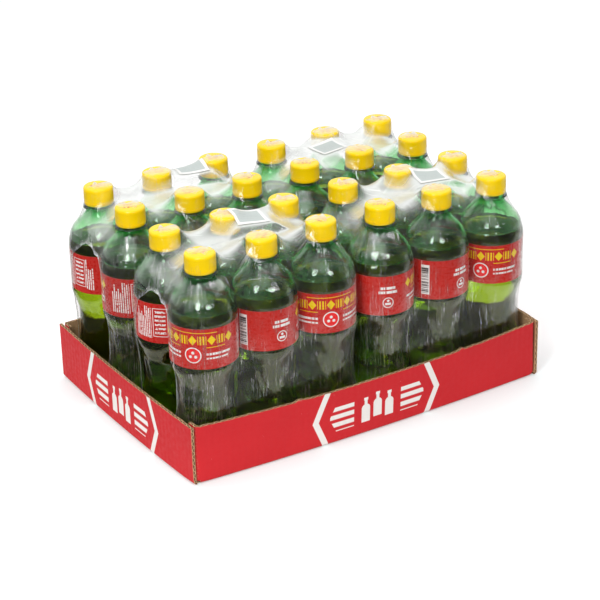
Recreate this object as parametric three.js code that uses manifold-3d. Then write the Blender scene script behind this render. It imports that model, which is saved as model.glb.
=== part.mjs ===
// A case of 24 soft drink bottles: four film-wrapped packs of six in a shallow cardboard tray.
// Millimetres, +Z up, origin at the middle of the tray's underside. The long side runs along X.

import * as THREE from "three";
import { mergeVertices } from "three/addons/utils/BufferGeometryUtils.js";
import Module from "manifold-3d";

const wasm = await Module();
wasm.setup();

// Driving dimensions
const BOTTLE_R = 33.5;
const PITCH = 67.4;
const CAP_R = 15.1;
const BOARD = 3;
const FILM = 0.4;
const CLEAR = 0.3;
const PACK_COLUMNS = 3;
const PACK_ROWS = 2;

// The bottle, measured from its own foot
const ROUND_SEGMENTS = 12;
const FINISH_R = 12.8;
const CAP_FOOT = 199.2;
const CAP_TOP = 217.5;
const CAP_WALL = 1.6;
const CAP_EDGE = 1.8;
const BOTTLE_PROFILE = [
  [0, 0],
  [25.5, 0],
  [BOTTLE_R, 12],
  [BOTTLE_R - 1.2, 36],
  [27.8, 56],
  [27.8, 88],
  [BOTTLE_R, 107],
  [BOTTLE_R, 156],
  [30.6, 169.5],
  [24, 180],
  [13.4, 191],
  [16.6, 196.5],
  [FINISH_R, 198.2],
  [FINISH_R, CAP_TOP - CAP_WALL - 1],
  [0, CAP_TOP - CAP_WALL - 1],
];

// The film round one pack, measured from the tray's underside
const BOTTLE_FOOT_Z = BOARD + CLEAR + FILM + CLEAR;
const FILM_R = BOTTLE_R + CLEAR + FILM;
const FILM_TOP_Z = BOTTLE_FOOT_Z + CAP_TOP + CLEAR + FILM + 0.1;
const FILM_SHOULDER_Z = 166;
const FILM_DENT = 3;
const CAP_REACH = CAP_R + 0.7;
// How far the film hangs below the cap tops: between two caps at the edge of the pack, inside it, and between the rows
const SAG_EDGE = 17;
const SAG_INNER = 12;
const SAG_ROWS = 10;
// The opening is a rounded oval: squareness 2 would be an ellipse
const BULLSEYE = { z: 92, halfWidth: 36.5, halfHeight: 82, squareness: 2.6, segments: 20 };

// The sticker on top of each pack
const STICKER = 0.3;
const STICKER_X = 33;
const STICKER_Y = 30;

// The tray
const TRAY_HALF_X = 207.3;
const TRAY_HALF_Y = 139.9;
const TRAY_HEIGHT = 62;
const LONG_BOW_TOP = 9;
const LONG_BOW_FOOT = 6;
const SHORT_BOW = 3;
const RIM_DIP = 3;
const LONG_STEPS = 10;
const SHORT_STEPS = 4;
const TAB_LENGTH = 12;
const SLIT_TOP = 1.8;
const SLIT_FOOT = 0.4;

// Where each pack stands, how far it is pushed and turned out of line (mm and degrees), and where its sticker lies
const PACK_X = 102.1;
const PACK_Y = 68.4;
const PACKS = [
  { name: "front_left", column: 0, row: 0, shift: [0.2, -0.3], turn: 0.4, sticker: { x: 19, y: 21, turn: -8 } },
  { name: "front_right", column: 1, row: 0, shift: [1.2, 0], turn: -0.9, sticker: { x: 21, y: 9, turn: -10 } },
  { name: "back_left", column: 0, row: 1, shift: [-0.3, 0.5], turn: 0.4, sticker: { x: 38, y: 32, turn: -8 } },
  { name: "back_right", column: 1, row: 1, shift: [0.6, 0.3], turn: -0.6, sticker: { x: -17, y: 0, turn: 5 } },
];

const GREEN_BOTTLE = new THREE.MeshStandardMaterial({ color: "#2c5a2a", roughness: 0.15, metalness: 0 });
const YELLOW_CAP = new THREE.MeshStandardMaterial({ color: "#ffcc08", roughness: 0.4, metalness: 0 });
const CLEAR_FILM = new THREE.MeshStandardMaterial({
  color: "#e6ebe6",
  roughness: 0.2,
  metalness: 0,
  transparent: true,
  opacity: 0.35,
});
const WHITE_STICKER = new THREE.MeshStandardMaterial({ color: "#eef0ee", roughness: 0.6, metalness: 0 });
const RED_BOARD = new THREE.MeshStandardMaterial({ color: "#c92a34", roughness: 0.75, metalness: 0 });

// Solids and meshes

function toSolid(geometry) {
  const bare = geometry.index ? geometry.toNonIndexed() : geometry.clone();
  bare.deleteAttribute("normal");
  bare.deleteAttribute("uv");
  const merged = mergeVertices(bare, 1e-4);
  return new wasm.Manifold(
    new wasm.Mesh({
      numProp: 3,
      vertProperties: merged.attributes.position.array,
      triVerts: new Uint32Array(merged.index.array),
    }),
  );
}

function toGeometry(solid) {
  const mesh = solid.getMesh();
  const positions = new Float32Array(mesh.numVert * 3);
  for (let i = 0; i < mesh.numVert; i++) {
    positions.set(mesh.vertProperties.subarray(i * mesh.numProp, i * mesh.numProp + 3), i * 3);
  }
  const geometry = new THREE.BufferGeometry();
  geometry.setAttribute("position", new THREE.BufferAttribute(positions, 3));
  geometry.setIndex(new THREE.BufferAttribute(mesh.triVerts, 1));
  geometry.computeVertexNormals();
  return geometry;
}

function fromFaces(points, triangles) {
  const geometry = new THREE.BufferGeometry();
  geometry.setAttribute("position", new THREE.Float32BufferAttribute(points.flat(), 3));
  geometry.setIndex(triangles.flat());
  geometry.computeVertexNormals();
  return geometry;
}

function named(name, geometry, material) {
  const mesh = new THREE.Mesh(geometry, material);
  mesh.name = name;
  return mesh;
}

// A profile of [radius, height] pairs turned about Z
function turned(profile) {
  const points = profile.map(([r, z]) => new THREE.Vector2(r, z));
  return new THREE.LatheGeometry(points, ROUND_SEGMENTS).rotateX(Math.PI / 2);
}

// The bottle, filled, and its cap

const bottleGeometry = turned(BOTTLE_PROFILE);

const capGeometry = turned([
  [0, CAP_TOP - CAP_WALL],
  [CAP_R - CAP_WALL, CAP_TOP - CAP_WALL],
  [CAP_R - CAP_WALL, CAP_FOOT],
  [CAP_R, CAP_FOOT],
  [CAP_R, CAP_TOP - CAP_EDGE],
  [CAP_R - CAP_EDGE, CAP_TOP],
  [0, CAP_TOP],
]);

// The film is a grid over the pack: flat on each cap, hanging between them, and straight down from the shoulders.

const capColumns = [-PITCH, 0, PITCH];
const capRows = [-PITCH / 2, PITCH / 2];

// Grid lines at the pack's edge, beside each cap and midway between caps
function gridLines(centres, reach) {
  const first = centres[0];
  const last = centres[centres.length - 1];
  const lines = [first - FILM_R, first - reach];
  centres.forEach((c, i) => {
    if (i > 0) lines.push((c + centres[i - 1]) / 2, c - reach);
    lines.push(c + reach);
  });
  lines.push(last + FILM_R);
  return lines;
}

const isBetween = (value, centres) => centres.every((c) => Math.abs(value - c) > CAP_REACH + 1);

// Height of the film's outer side over a grid crossing inside the pack
function filmHeight(x, y) {
  const betweenColumns = isBetween(x, capColumns);
  const betweenRows = isBetween(y, capRows);
  const atEdge = Math.abs(y) > PITCH / 2;
  if (betweenColumns && betweenRows) return FILM_TOP_Z - SAG_INNER - 1;
  if (betweenColumns) return FILM_TOP_Z - (atEdge ? SAG_EDGE : SAG_INNER);
  if (betweenRows) return FILM_TOP_Z - (Math.abs(x) > PITCH ? SAG_EDGE - 3 : SAG_ROWS);
  return FILM_TOP_Z;
}

// The closed surface of the film, moved in by inset
function filmSurface(inset) {
  const columns = gridLines(capColumns, CAP_REACH);
  const rows = gridLines(capRows, CAP_REACH);
  const lastColumn = columns.length - 1;
  const lastRow = rows.length - 1;
  const radius = FILM_R - inset;
  const halfX = PITCH + radius;
  const halfY = PITCH / 2 + radius;
  const chamferReach = radius * Math.tan(Math.PI / 8);
  const points = [];
  const index = (i, j) => j * columns.length + i;

  for (let j = 0; j <= lastRow; j++) {
    for (let i = 0; i <= lastColumn; i++) {
      const onSideX = i === 0 || i === lastColumn;
      const onSideY = j === 0 || j === lastRow;
      let x = columns[i];
      let y = rows[j];
      let z = FILM_SHOULDER_Z - inset;
      if (onSideX && onSideY) {
        x = Math.sign(x) * (halfX - (radius - chamferReach) / 2);
        y = Math.sign(y) * (halfY - (radius - chamferReach) / 2);
      } else if (onSideY) {
        if (i === 1 || i === lastColumn - 1) x = Math.sign(x) * (PITCH + chamferReach);
        y = Math.sign(y) * (halfY - (isBetween(x, capColumns) && Math.abs(x) < PITCH ? FILM_DENT : 0));
      } else if (onSideX) {
        if (j === 1 || j === lastRow - 1) y = Math.sign(y) * (PITCH / 2 + chamferReach);
        x = Math.sign(x) * (halfX - (isBetween(y, capRows) && Math.abs(y) < PITCH / 2 ? FILM_DENT : 0));
      } else {
        z = filmHeight(x, y) - inset * 1.25;
      }
      points.push([x, y, z]);
    }
  }

  const triangles = [];
  for (let j = 0; j < lastRow; j++) {
    for (let i = 0; i < lastColumn; i++) {
      const [a, b, c, d] = [index(i, j), index(i + 1, j), index(i + 1, j + 1), index(i, j + 1)];
      const turnedDiagonal = (i < lastColumn / 2) === (j < lastRow / 2);
      if (turnedDiagonal) triangles.push([a, b, d], [b, c, d]);
      else triangles.push([a, b, c], [a, c, d]);
    }
  }

  const edge = [];
  for (let i = 0; i < lastColumn; i++) edge.push(index(i, 0));
  for (let j = 0; j < lastRow; j++) edge.push(index(lastColumn, j));
  for (let i = lastColumn; i > 0; i--) edge.push(index(i, lastRow));
  for (let j = lastRow; j > 0; j--) edge.push(index(0, j));

  const footZ = BOARD + CLEAR + inset;
  const firstFoot = points.length;
  edge.forEach((k) => points.push([points[k][0], points[k][1], footZ]));
  const centre = points.length;
  points.push([0, 0, footZ]);
  edge.forEach((top, k) => {
    const next = (k + 1) % edge.length;
    const [foot, nextFoot, nextTop] = [firstFoot + k, firstFoot + next, edge[next]];
    triangles.push([top, foot, nextTop], [foot, nextFoot, nextTop], [foot, centre, nextFoot]);
  });
  return fromFaces(points, triangles);
}

// The round opening that shrinking leaves at each end of a pack
function bullseyeCutter() {
  const reach = (value) => Math.sign(value) * Math.abs(value) ** (2 / BULLSEYE.squareness);
  const points = [];
  for (let k = 0; k < BULLSEYE.segments; k++) {
    const angle = (2 * Math.PI * k) / BULLSEYE.segments;
    points.push(
      new THREE.Vector2(
        BULLSEYE.halfWidth * reach(Math.cos(angle)),
        BULLSEYE.halfHeight * reach(Math.sin(angle)),
      ),
    );
  }
  const length = 2 * (PITCH + FILM_R) + 20;
  return new THREE.ExtrudeGeometry(new THREE.Shape(points), { depth: length, bevelEnabled: false, steps: 1 })
    .rotateX(Math.PI / 2)
    .rotateZ(Math.PI / 2)
    .translate(-length / 2, 0, BULLSEYE.z);
}

const filmGeometry = toGeometry(
  toSolid(filmSurface(0)).subtract(toSolid(filmSurface(FILM))).subtract(toSolid(bullseyeCutter())),
);

// The sticker is cut from a thin layer over the film, so that it follows the film's top.
function stickerGeometry({ x, y, turn }) {
  const lift = CLEAR + 0.1;
  const layer = toSolid(filmSurface(-lift - STICKER)).subtract(toSolid(filmSurface(-lift)));
  const cutter = new THREE.BoxGeometry(STICKER_X, STICKER_Y, 60)
    .rotateZ(THREE.MathUtils.degToRad(turn))
    .translate(x, y, FILM_TOP_Z);
  return toGeometry(layer.intersect(toSolid(cutter)));
}

// The tray: one folded sheet, with bowed walls, end panels outside and glued tabs inside them

// The tray's outline seen from above, with the walls bowed outwards
function trayOutline(halfX, halfY, longBow, shortBow, heightAt) {
  const outline = [];
  const longSide = (sign) => {
    for (let i = 0; i < LONG_STEPS; i++) {
      const t = -1 + (2 * i) / LONG_STEPS;
      const swell = 1 - t * t;
      outline.push([-sign * t * halfX, sign * (halfY + longBow * swell), heightAt(swell)]);
    }
  };
  const shortSide = (sign) => {
    for (let j = 0; j < SHORT_STEPS; j++) {
      const t = -1 + (2 * j) / SHORT_STEPS;
      outline.push([sign * (halfX + shortBow * (1 - t * t)), sign * t * halfY, heightAt(0)]);
    }
  };
  longSide(-1);
  shortSide(1);
  longSide(1);
  shortSide(-1);
  return outline;
}

function trayShell() {
  const rimHeight = (swell) => TRAY_HEIGHT - RIM_DIP * swell;
  const insideX = TRAY_HALF_X - BOARD;
  const insideY = TRAY_HALF_Y - BOARD;
  const rings = [
    trayOutline(TRAY_HALF_X, TRAY_HALF_Y, LONG_BOW_FOOT, SHORT_BOW, () => 0),
    trayOutline(TRAY_HALF_X, TRAY_HALF_Y, LONG_BOW_TOP, SHORT_BOW, rimHeight),
    trayOutline(insideX, insideY, LONG_BOW_TOP, SHORT_BOW, rimHeight),
    trayOutline(insideX, insideY, LONG_BOW_FOOT, SHORT_BOW, () => BOARD),
  ];
  const count = rings[0].length;
  const points = rings.flat();
  const under = points.length;
  const floor = under + 1;
  points.push([0, 0, 0], [0, 0, BOARD]);
  const triangles = [];
  for (let k = 0; k < count; k++) {
    const next = (k + 1) % count;
    for (let ring = 0; ring < rings.length - 1; ring++) {
      const [a, b] = [ring * count + k, ring * count + next];
      const [c, d] = [b + count, a + count];
      triangles.push([a, b, c], [a, c, d]);
    }
    triangles.push([under, next, k], [floor, 3 * count + k, 3 * count + next]);
  }
  return fromFaces(points, triangles);
}

// A section in X and Z run along Y, mirrored to the chosen corner
function cornerPiece(signX, signY, section, outerY, length) {
  const shape = new THREE.Shape(section.map(([x, z]) => new THREE.Vector2(signX * x, z)));
  return new THREE.ExtrudeGeometry(shape, { depth: length, bevelEnabled: false, steps: 1 })
    .rotateX(Math.PI / 2)
    .translate(0, signY > 0 ? outerY : length - outerY, 0);
}

// The slit between the end panel and the fold behind it widens towards the top.
const slitWidth = (z) => SLIT_FOOT + ((SLIT_TOP - SLIT_FOOT) * z) / TRAY_HEIGHT;

// The tab that folds round a corner behind the end panel
function cornerTab(signX, signY) {
  const face = TRAY_HALF_X - BOARD;
  const [low, high] = [BOARD - 0.5, TRAY_HEIGHT - 1];
  const section = [
    [face - slitWidth(low) - BOARD, low],
    [face - slitWidth(low), low],
    [face - slitWidth(high), high],
    [face - slitWidth(high) - BOARD, high],
  ];
  return cornerPiece(signX, signY, section, TRAY_HALF_Y - BOARD / 2, TAB_LENGTH);
}

function cornerSlit(signX, signY) {
  const face = TRAY_HALF_X - BOARD;
  const [low, high] = [BOARD + 0.5, TRAY_HEIGHT + 5];
  const section = [
    [face - slitWidth(low), low],
    [face, low],
    [face, high],
    [face - slitWidth(high), high],
  ];
  return cornerPiece(signX, signY, section, TRAY_HALF_Y + 5, TAB_LENGTH + 10);
}

function trayGeometry() {
  let tray = toSolid(trayShell());
  const corners = [[-1, -1], [1, -1], [1, 1], [-1, 1]];
  for (const [signX, signY] of corners) tray = tray.add(toSolid(cornerTab(signX, signY)));
  for (const [signX, signY] of corners) tray = tray.subtract(toSolid(cornerSlit(signX, signY)));
  return toGeometry(tray);
}

// The whole case

function pack({ name, column, row, shift, turn, sticker }) {
  const group = new THREE.Group();
  for (let i = 0; i < PACK_COLUMNS; i++) {
    for (let j = 0; j < PACK_ROWS; j++) {
      const place = `c${column * PACK_COLUMNS + i + 1}r${row * PACK_ROWS + j + 1}`;
      const bottle = named(`bottle_${place}`, bottleGeometry, GREEN_BOTTLE);
      const cap = named(`cap_${place}`, capGeometry, YELLOW_CAP);
      for (const mesh of [bottle, cap]) {
        mesh.position.set(capColumns[i], capRows[j], BOTTLE_FOOT_Z);
        group.add(mesh);
      }
    }
  }
  group.add(named(`film_${name}`, filmGeometry, CLEAR_FILM));
  group.add(named(`sticker_${name}`, stickerGeometry(sticker), WHITE_STICKER));
  group.position.set((column * 2 - 1) * PACK_X + shift[0], (row * 2 - 1) * PACK_Y + shift[1], 0);
  group.rotation.z = THREE.MathUtils.degToRad(turn);
  return group;
}

const bottleCase = new THREE.Group();
bottleCase.add(named("tray", trayGeometry(), RED_BOARD));
for (const one of PACKS) bottleCase.add(pack(one));

export default bottleCase;
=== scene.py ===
"""A case of ginger ale bottles: the fine shapes, finishes, floor, light and camera.

The frame holds plain solids. Each gets finer pieces in the same place. They are modelled in
millimetres and turned into metres when they are placed.
"""

import math

import bmesh
import bpy
import numpy as np
from mathutils import Matrix, Vector
from mathutils.bvhtree import BVHTree


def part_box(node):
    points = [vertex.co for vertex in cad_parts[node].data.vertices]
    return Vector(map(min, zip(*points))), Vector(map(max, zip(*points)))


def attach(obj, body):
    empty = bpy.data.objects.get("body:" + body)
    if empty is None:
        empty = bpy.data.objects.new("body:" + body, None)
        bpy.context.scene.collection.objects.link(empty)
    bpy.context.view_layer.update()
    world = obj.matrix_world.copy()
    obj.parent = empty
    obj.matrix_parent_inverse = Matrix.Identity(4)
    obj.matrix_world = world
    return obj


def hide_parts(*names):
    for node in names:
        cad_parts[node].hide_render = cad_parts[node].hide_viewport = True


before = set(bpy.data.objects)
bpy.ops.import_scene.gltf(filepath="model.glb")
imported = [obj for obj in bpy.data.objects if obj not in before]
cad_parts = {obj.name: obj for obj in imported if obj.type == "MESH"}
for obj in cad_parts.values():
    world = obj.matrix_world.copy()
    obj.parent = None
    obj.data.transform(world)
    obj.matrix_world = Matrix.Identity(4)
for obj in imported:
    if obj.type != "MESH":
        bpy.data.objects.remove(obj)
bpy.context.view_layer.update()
scene = bpy.context.scene

MM = 0.001
COLUMNS = 6
ROWS = 4
PACK_COLUMNS = 3
PACK_ROWS = 2
PITCH = 67.4
# The first column and row of bottles in each pack
PACK_CORNERS = {
    "front_left": (0, 0),
    "front_right": (3, 0),
    "back_left": (0, 2),
    "back_right": (3, 2),
}

# The bottle, from its own foot
BOTTLE_SEGMENTS = 96
BODY_WALL = 0.8
NECK_WALL = 1.7
DRINK_IN_WALL = 0.4
DRINK_LEVEL = 163.2
LABEL_FOOT = 111.0
LABEL_TOP = 152.6
LABEL_INSIDE = 33.08
LABEL_OUTSIDE = 33.3
FINISH_R = 12.8
BORE_R = 11.1
MOUTH_Z = 213.6

# The cap, from the bottle's foot
CAP_FOOT = 199.2
CAP_TOP = 217.5
CAP_R = 15.1
CAP_BORE_R = 13.5
CAP_INSIDE_Z = 215.6
CAP_SEGMENTS = 144
KNURL_DEPTH = 0.25

# The film round a pack, from the tray's underside
FILM_R = 34.2
FILM_FOOT_Z = 3.45
FILM_SHOULDER_Z = 166.0
FILM_TOP_Z = 222.2
FILM_CUTS = 95
FILM_ROUNDS = 420
FILM_GAP = 0.3
# How much harder the film is drawn outwards from a cap than round it
RADIAL_PULL = 10.0
OPENING_Y = 3.0
OPENING_Z = 90.0
OPENING_HALF_WIDTH = 36.0
OPENING_HALF_HEIGHT = 80.0
OPENING_SQUARENESS = 2.8

# The sticker on each pack: its size and how far it is turned
STICKER_X = 33.0
STICKER_Y = 30.0
STICKER_LIFT = 0.55
STICKER_TURNS = {"front_left": -8, "front_right": -10, "back_left": -8, "back_right": 5}

# The tray
TRAY_HALF_X = 207.3
TRAY_HALF_Y = 139.9
TRAY_HEIGHT = 62.0
BOARD = 3.0
LONG_BOW_TOP = 9.0
LONG_BOW_FOOT = 6.0
SHORT_BOW = 3.0
RIM_DIP = 3.0
TAB_LENGTH = 12.0
CORNER_FOLD_R = 4.0
# Torn bits left standing on the front wall's top edge: where along it, and how high
RIM_NUBS = ((-90.0, 3.0), (104.0, 2.8))
FOOT_FOLD_R = 3.6
SLIT_TOP = 1.8
SLIT_FOOT = 0.4

# The camera that took the photo
CAMERA_TURN = -31.737
CAMERA_LIFT = 25.002
CAMERA_ROLL = -1.35
CAMERA_DISTANCE = 2.0692
CAMERA_TARGET = Vector((-0.01416, -0.02819, 0.1))
PHOTO_SIZE = 600
FOCAL_PIXELS = 2025.85
PHOTO_CENTRE = (300.1, 301.6)
SENSOR = 36.0
# The pale panel above the camera's side: its direction, and how strongly it shines
PANEL_TURN = CAMERA_TURN - 12
PANEL_LIFT = 58
PANEL_STRENGTH = 1.3
# The room is darker on this side, in degrees from the front
DARK_SIDE = 35

# Where the middle of each label's front looks, in degrees counterclockwise from +X
LABEL_TURNS = {
    (0, 0): -137.5,
    (1, 0): 15.3,
    (2, 0): -107.7,
    (3, 0): -6.0,
    (4, 0): 28.0,
    (5, 0): -143.2,
    (0, 1): 90.3,
    (0, 2): 113.0,
    (0, 3): 60.0,
}


def place_name(column, row):
    return f"c{column + 1}r{row + 1}"


def bottle_foot(column, row):
    """The middle of a bottle's foot, in millimetres."""
    low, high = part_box("cap_" + place_name(column, row))
    foot_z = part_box("bottle_" + place_name(column, row))[0].z
    return Vector(((low.x + high.x) / 2, (low.y + high.y) / 2, foot_z)) / MM


def pack_place(pack):
    """The pack's middle at floor height and its turn, from where its corner bottles stand."""
    column, row = PACK_CORNERS[pack]
    last_column = column + PACK_COLUMNS - 1
    near = bottle_foot(column, row)
    along = bottle_foot(last_column, row)
    far = bottle_foot(last_column, row + PACK_ROWS - 1)
    middle = (near + far) / 2
    turn = math.atan2(along.y - near.y, along.x - near.x)
    return Matrix.Translation((middle.x, middle.y, 0)) @ Matrix.Rotation(turn, 4, "Z")


def from_angles(turn, lift):
    """The direction from the case towards a light or the camera, turned from -Y and lifted."""
    turn, lift = math.radians(turn), math.radians(lift)
    return Vector((math.sin(turn) * math.cos(lift), -math.cos(turn) * math.cos(lift), math.sin(lift)))


# Shader nodes


def join(tree, node, key, value):
    """Sets an input to a value, or links it to another node's output."""
    if isinstance(value, bpy.types.NodeSocket):
        tree.links.new(value, node.inputs[key])
    else:
        node.inputs[key].default_value = value


def put(tree, kind, sockets=None, **settings):
    """Adds a node with its settings and inputs."""
    node = tree.nodes.new(kind)
    for key, value in settings.items():
        setattr(node, key, value)
    for key, value in (sockets or {}).items():
        join(tree, node, key, value)
    return node


def use(tree, group, sockets):
    """Places a node group and gives its outputs."""
    node = tree.nodes.new("ShaderNodeGroup")
    node.node_tree = group
    for key, value in sockets.items():
        join(tree, node, key, value)
    return node.outputs


def calc(tree, operation, a, b=0.0, clamp=False):
    return put(tree, "ShaderNodeMath", {0: a, 1: b}, operation=operation, use_clamp=clamp).outputs[0]


def both(tree, first, *others):
    """The product of masks."""
    for other in others:
        first = calc(tree, "MULTIPLY", first, other)
    return first


def either(tree, first, *others):
    """The highest of masks."""
    for other in others:
        first = calc(tree, "MAXIMUM", first, other)
    return first


def ramp(tree, value, low, high, to_low=0.0, to_high=1.0):
    """value from low..high mapped smoothly to to_low..to_high."""
    limits = {"Value": value, "From Min": low, "From Max": high, "To Min": to_low, "To Max": to_high}
    return put(tree, "ShaderNodeMapRange", limits, interpolation_type="SMOOTHSTEP").outputs["Result"]


def blend(tree, share, below, above):
    return put(tree, "ShaderNodeMix", {0: share, 6: below, 7: above}, data_type="RGBA").outputs[2]


def grains(tree, vector, scale, detail=3.0, roughness=0.5):
    sockets = {"Vector": vector, "Scale": scale, "Detail": detail, "Roughness": roughness}
    return put(tree, "ShaderNodeTexNoise", sockets).outputs["Fac"]


def stretched(tree, vector, factors):
    return put(tree, "ShaderNodeVectorMath", {0: vector, 1: factors}, operation="MULTIPLY").outputs[0]


def dot(tree, a, b):
    return put(tree, "ShaderNodeVectorMath", {0: a, 1: b}, operation="DOT_PRODUCT").outputs["Value"]


def split(tree, vector):
    node = put(tree, "ShaderNodeSeparateXYZ", {0: vector})
    return node.outputs["X"], node.outputs["Y"], node.outputs["Z"]


def pair(tree, x, y):
    return put(tree, "ShaderNodeCombineXYZ", {"X": x, "Y": y}).outputs[0]


def in_millimetres(tree):
    """Object coordinates in millimetres."""
    coordinates = put(tree, "ShaderNodeTexCoord").outputs["Object"]
    return stretched(tree, coordinates, (1 / MM, 1 / MM, 1 / MM))


def unwrapped(tree, name):
    """The piece's own UV map in millimetres."""
    return stretched(tree, put(tree, "ShaderNodeUVMap", uv_map=name).outputs["UV"], (100, 100, 0))


def attribute(tree, name):
    return put(tree, "ShaderNodeAttribute", attribute_name=name).outputs["Fac"]


def bumped(tree, height, distance_mm, normal=None):
    node = put(tree, "ShaderNodeBump", {"Height": height, "Distance": distance_mm * MM})
    if normal:
        tree.links.new(normal, node.inputs["Normal"])
    return node.outputs["Normal"]


def finish(name, build):
    """A material whose nodes build(tree) makes. build gives the shader's output."""
    material = bpy.data.materials.new(name)
    material.use_nodes = True
    tree = material.node_tree
    tree.nodes.clear()
    output = put(tree, "ShaderNodeOutputMaterial")
    tree.links.new(build(tree), output.inputs["Surface"])
    return material


def shader(tree, sockets):
    return put(tree, "ShaderNodeBsdfPrincipled", sockets).outputs[0]


# Node groups


def new_group(name, inputs, outputs):
    """A node group: each input is (name, kind, default), each output (name, kind)."""
    tree = bpy.data.node_groups.new(name, "ShaderNodeTree")
    for label, kind, default in inputs:
        socket = tree.interface.new_socket(label, in_out="INPUT", socket_type="NodeSocket" + kind)
        if default is not None:
            socket.default_value = default
    for label, kind in outputs:
        tree.interface.new_socket(label, in_out="OUTPUT", socket_type="NodeSocket" + kind)
    return tree, put(tree, "NodeGroupInput").outputs, put(tree, "NodeGroupOutput").inputs


def box_group():
    """A rectangle in X and Y, 1 inside and 0 outside."""
    labels = ("X", "Y", "Centre X", "Centre Y", "Half Width", "Half Height")
    tree, given, out = new_group("box_shape", [(n, "Float", 0.0) for n in labels], [("Mask", "Float")])
    sides = []
    for axis, centre, half in (("X", "Centre X", "Half Width"), ("Y", "Centre Y", "Half Height")):
        away = calc(tree, "ABSOLUTE", calc(tree, "SUBTRACT", given[axis], given[centre]))
        inside = calc(tree, "SUBTRACT", given[half], away)
        sides.append(ramp(tree, inside, -0.12, 0.12))
    tree.links.new(both(tree, *sides), out["Mask"])
    return tree


def disc_group():
    """A disc in X and Y, 1 inside and 0 outside."""
    labels = ("X", "Y", "Centre X", "Centre Y", "Radius")
    tree, given, out = new_group("disc_shape", [(n, "Float", 0.0) for n in labels], [("Mask", "Float")])
    across = calc(tree, "SUBTRACT", given["X"], given["Centre X"])
    up = calc(tree, "SUBTRACT", given["Y"], given["Centre Y"])
    squares = calc(tree, "ADD", calc(tree, "MULTIPLY", across, across), calc(tree, "MULTIPLY", up, up))
    inside = calc(tree, "SUBTRACT", given["Radius"], calc(tree, "SQRT", squares))
    tree.links.new(ramp(tree, inside, -0.12, 0.12), out["Mask"])
    return tree


def stripe_group():
    """Parallel stripes: Share is how much of each period is 1."""
    inputs = [("Value", "Float", 0.0), ("Period", "Float", 1.0), ("Share", "Float", 0.5)]
    tree, given, out = new_group("stripe_shape", inputs, [("Mask", "Float")])
    part = calc(tree, "FRACT", calc(tree, "DIVIDE", given["Value"], given["Period"]))
    away = calc(tree, "ABSOLUTE", calc(tree, "SUBTRACT", part, 0.5))
    inside = calc(tree, "SUBTRACT", calc(tree, "MULTIPLY", given["Share"], 0.5), away)
    tree.links.new(ramp(tree, inside, -0.06, 0.06), out["Mask"])
    return tree


def mottle_group():
    """Broad and fine unevenness of a colour, around 1."""
    inputs = [
        ("Vector", "Vector", None),
        ("Broad", "Float", 0.02),
        ("Fine", "Float", 1.0),
        ("Strength", "Float", 0.1),
    ]
    tree, given, out = new_group("fine_mottle", inputs, [("Value", "Float")])
    broad = grains(tree, given["Vector"], given["Broad"], 2)
    fine = grains(tree, given["Vector"], given["Fine"], 4, 0.7)
    mean = calc(tree, "SUBTRACT", calc(tree, "MULTIPLY", calc(tree, "ADD", broad, fine), 0.5), 0.5)
    part = calc(tree, "MULTIPLY", mean, calc(tree, "MULTIPLY", given["Strength"], 4.0))
    tree.links.new(calc(tree, "ADD", part, 1.0), out["Value"])
    return tree


def wear_group():
    """Rubbed and chipped places, from how near an edge or fold a point is (Worn, 0 to 1)."""
    inputs = [
        ("Worn", "Float", 0.0),
        ("Vector", "Vector", None),
        ("Scale", "Float", 0.5),
        ("Amount", "Float", 0.5),
    ]
    tree, given, out = new_group("edge_wear", inputs, [("Mask", "Float")])
    rough = grains(tree, given["Vector"], given["Scale"], 5, 0.65)
    reach = calc(tree, "ADD", calc(tree, "MULTIPLY", given["Worn"], given["Amount"]), rough)
    tree.links.new(ramp(tree, reach, 0.88, 1.0), out["Mask"])
    return tree


def fold_group():
    """Folds of drawn film, in a vector that runs round the bottle and up it: Height and whitened Creases."""
    inputs = [("Vector", "Vector", None), ("Gathered", "Float", 0.0)]
    tree, given, out = new_group("film_folds", inputs, [("Height", "Float"), ("Creases", "Float")])
    gathered = given["Gathered"]
    fine = grains(tree, stretched(tree, given["Vector"], (0.42, 0.016, 1)), 1.0, 3, 0.6)
    broad = grains(tree, stretched(tree, given["Vector"], (0.13, 0.012, 1)), 1.0, 2, 0.5)
    loose = grains(tree, stretched(tree, given["Vector"], (0.06, 0.05, 1)), 1.0, 3, 0.55)
    ridged = calc(tree, "ABSOLUTE", calc(tree, "SUBTRACT", fine, 0.5))
    height = calc(tree, "MULTIPLY", ridged, ramp(tree, gathered, 0, 1, 0.7, 2.6))
    height = calc(tree, "ADD", height, calc(tree, "MULTIPLY", broad, ramp(tree, gathered, 0, 1, 0.8, 1.6)))
    tree.links.new(calc(tree, "ADD", height, loose), out["Height"])
    line = ramp(tree, ridged, 0.022, 0.0)
    places = grains(tree, stretched(tree, given["Vector"], (0.09, 0.03, 1)), 1.0, 2, 0.5)
    reach = calc(tree, "ADD", places, calc(tree, "MULTIPLY", gathered, 0.22))
    tree.links.new(both(tree, line, ramp(tree, reach, 0.46, 0.62)), out["Creases"])
    return tree


BOX = box_group()
DISC = disc_group()
STRIPES = stripe_group()
MOTTLE = mottle_group()
WEAR = wear_group()
FOLDS = fold_group()


def box(tree, x, y, centre_x, centre_y, half_width, half_height):
    keys = ("X", "Y", "Centre X", "Centre Y", "Half Width", "Half Height")
    values = (x, y, centre_x, centre_y, half_width, half_height)
    return use(tree, BOX, dict(zip(keys, values)))["Mask"]


def disc(tree, x, y, centre_x, centre_y, radius):
    keys = ("X", "Y", "Centre X", "Centre Y", "Radius")
    return use(tree, DISC, dict(zip(keys, (x, y, centre_x, centre_y, radius))))["Mask"]


def stripes(tree, value, period, share):
    return use(tree, STRIPES, {"Value": value, "Period": period, "Share": share})["Mask"]


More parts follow.
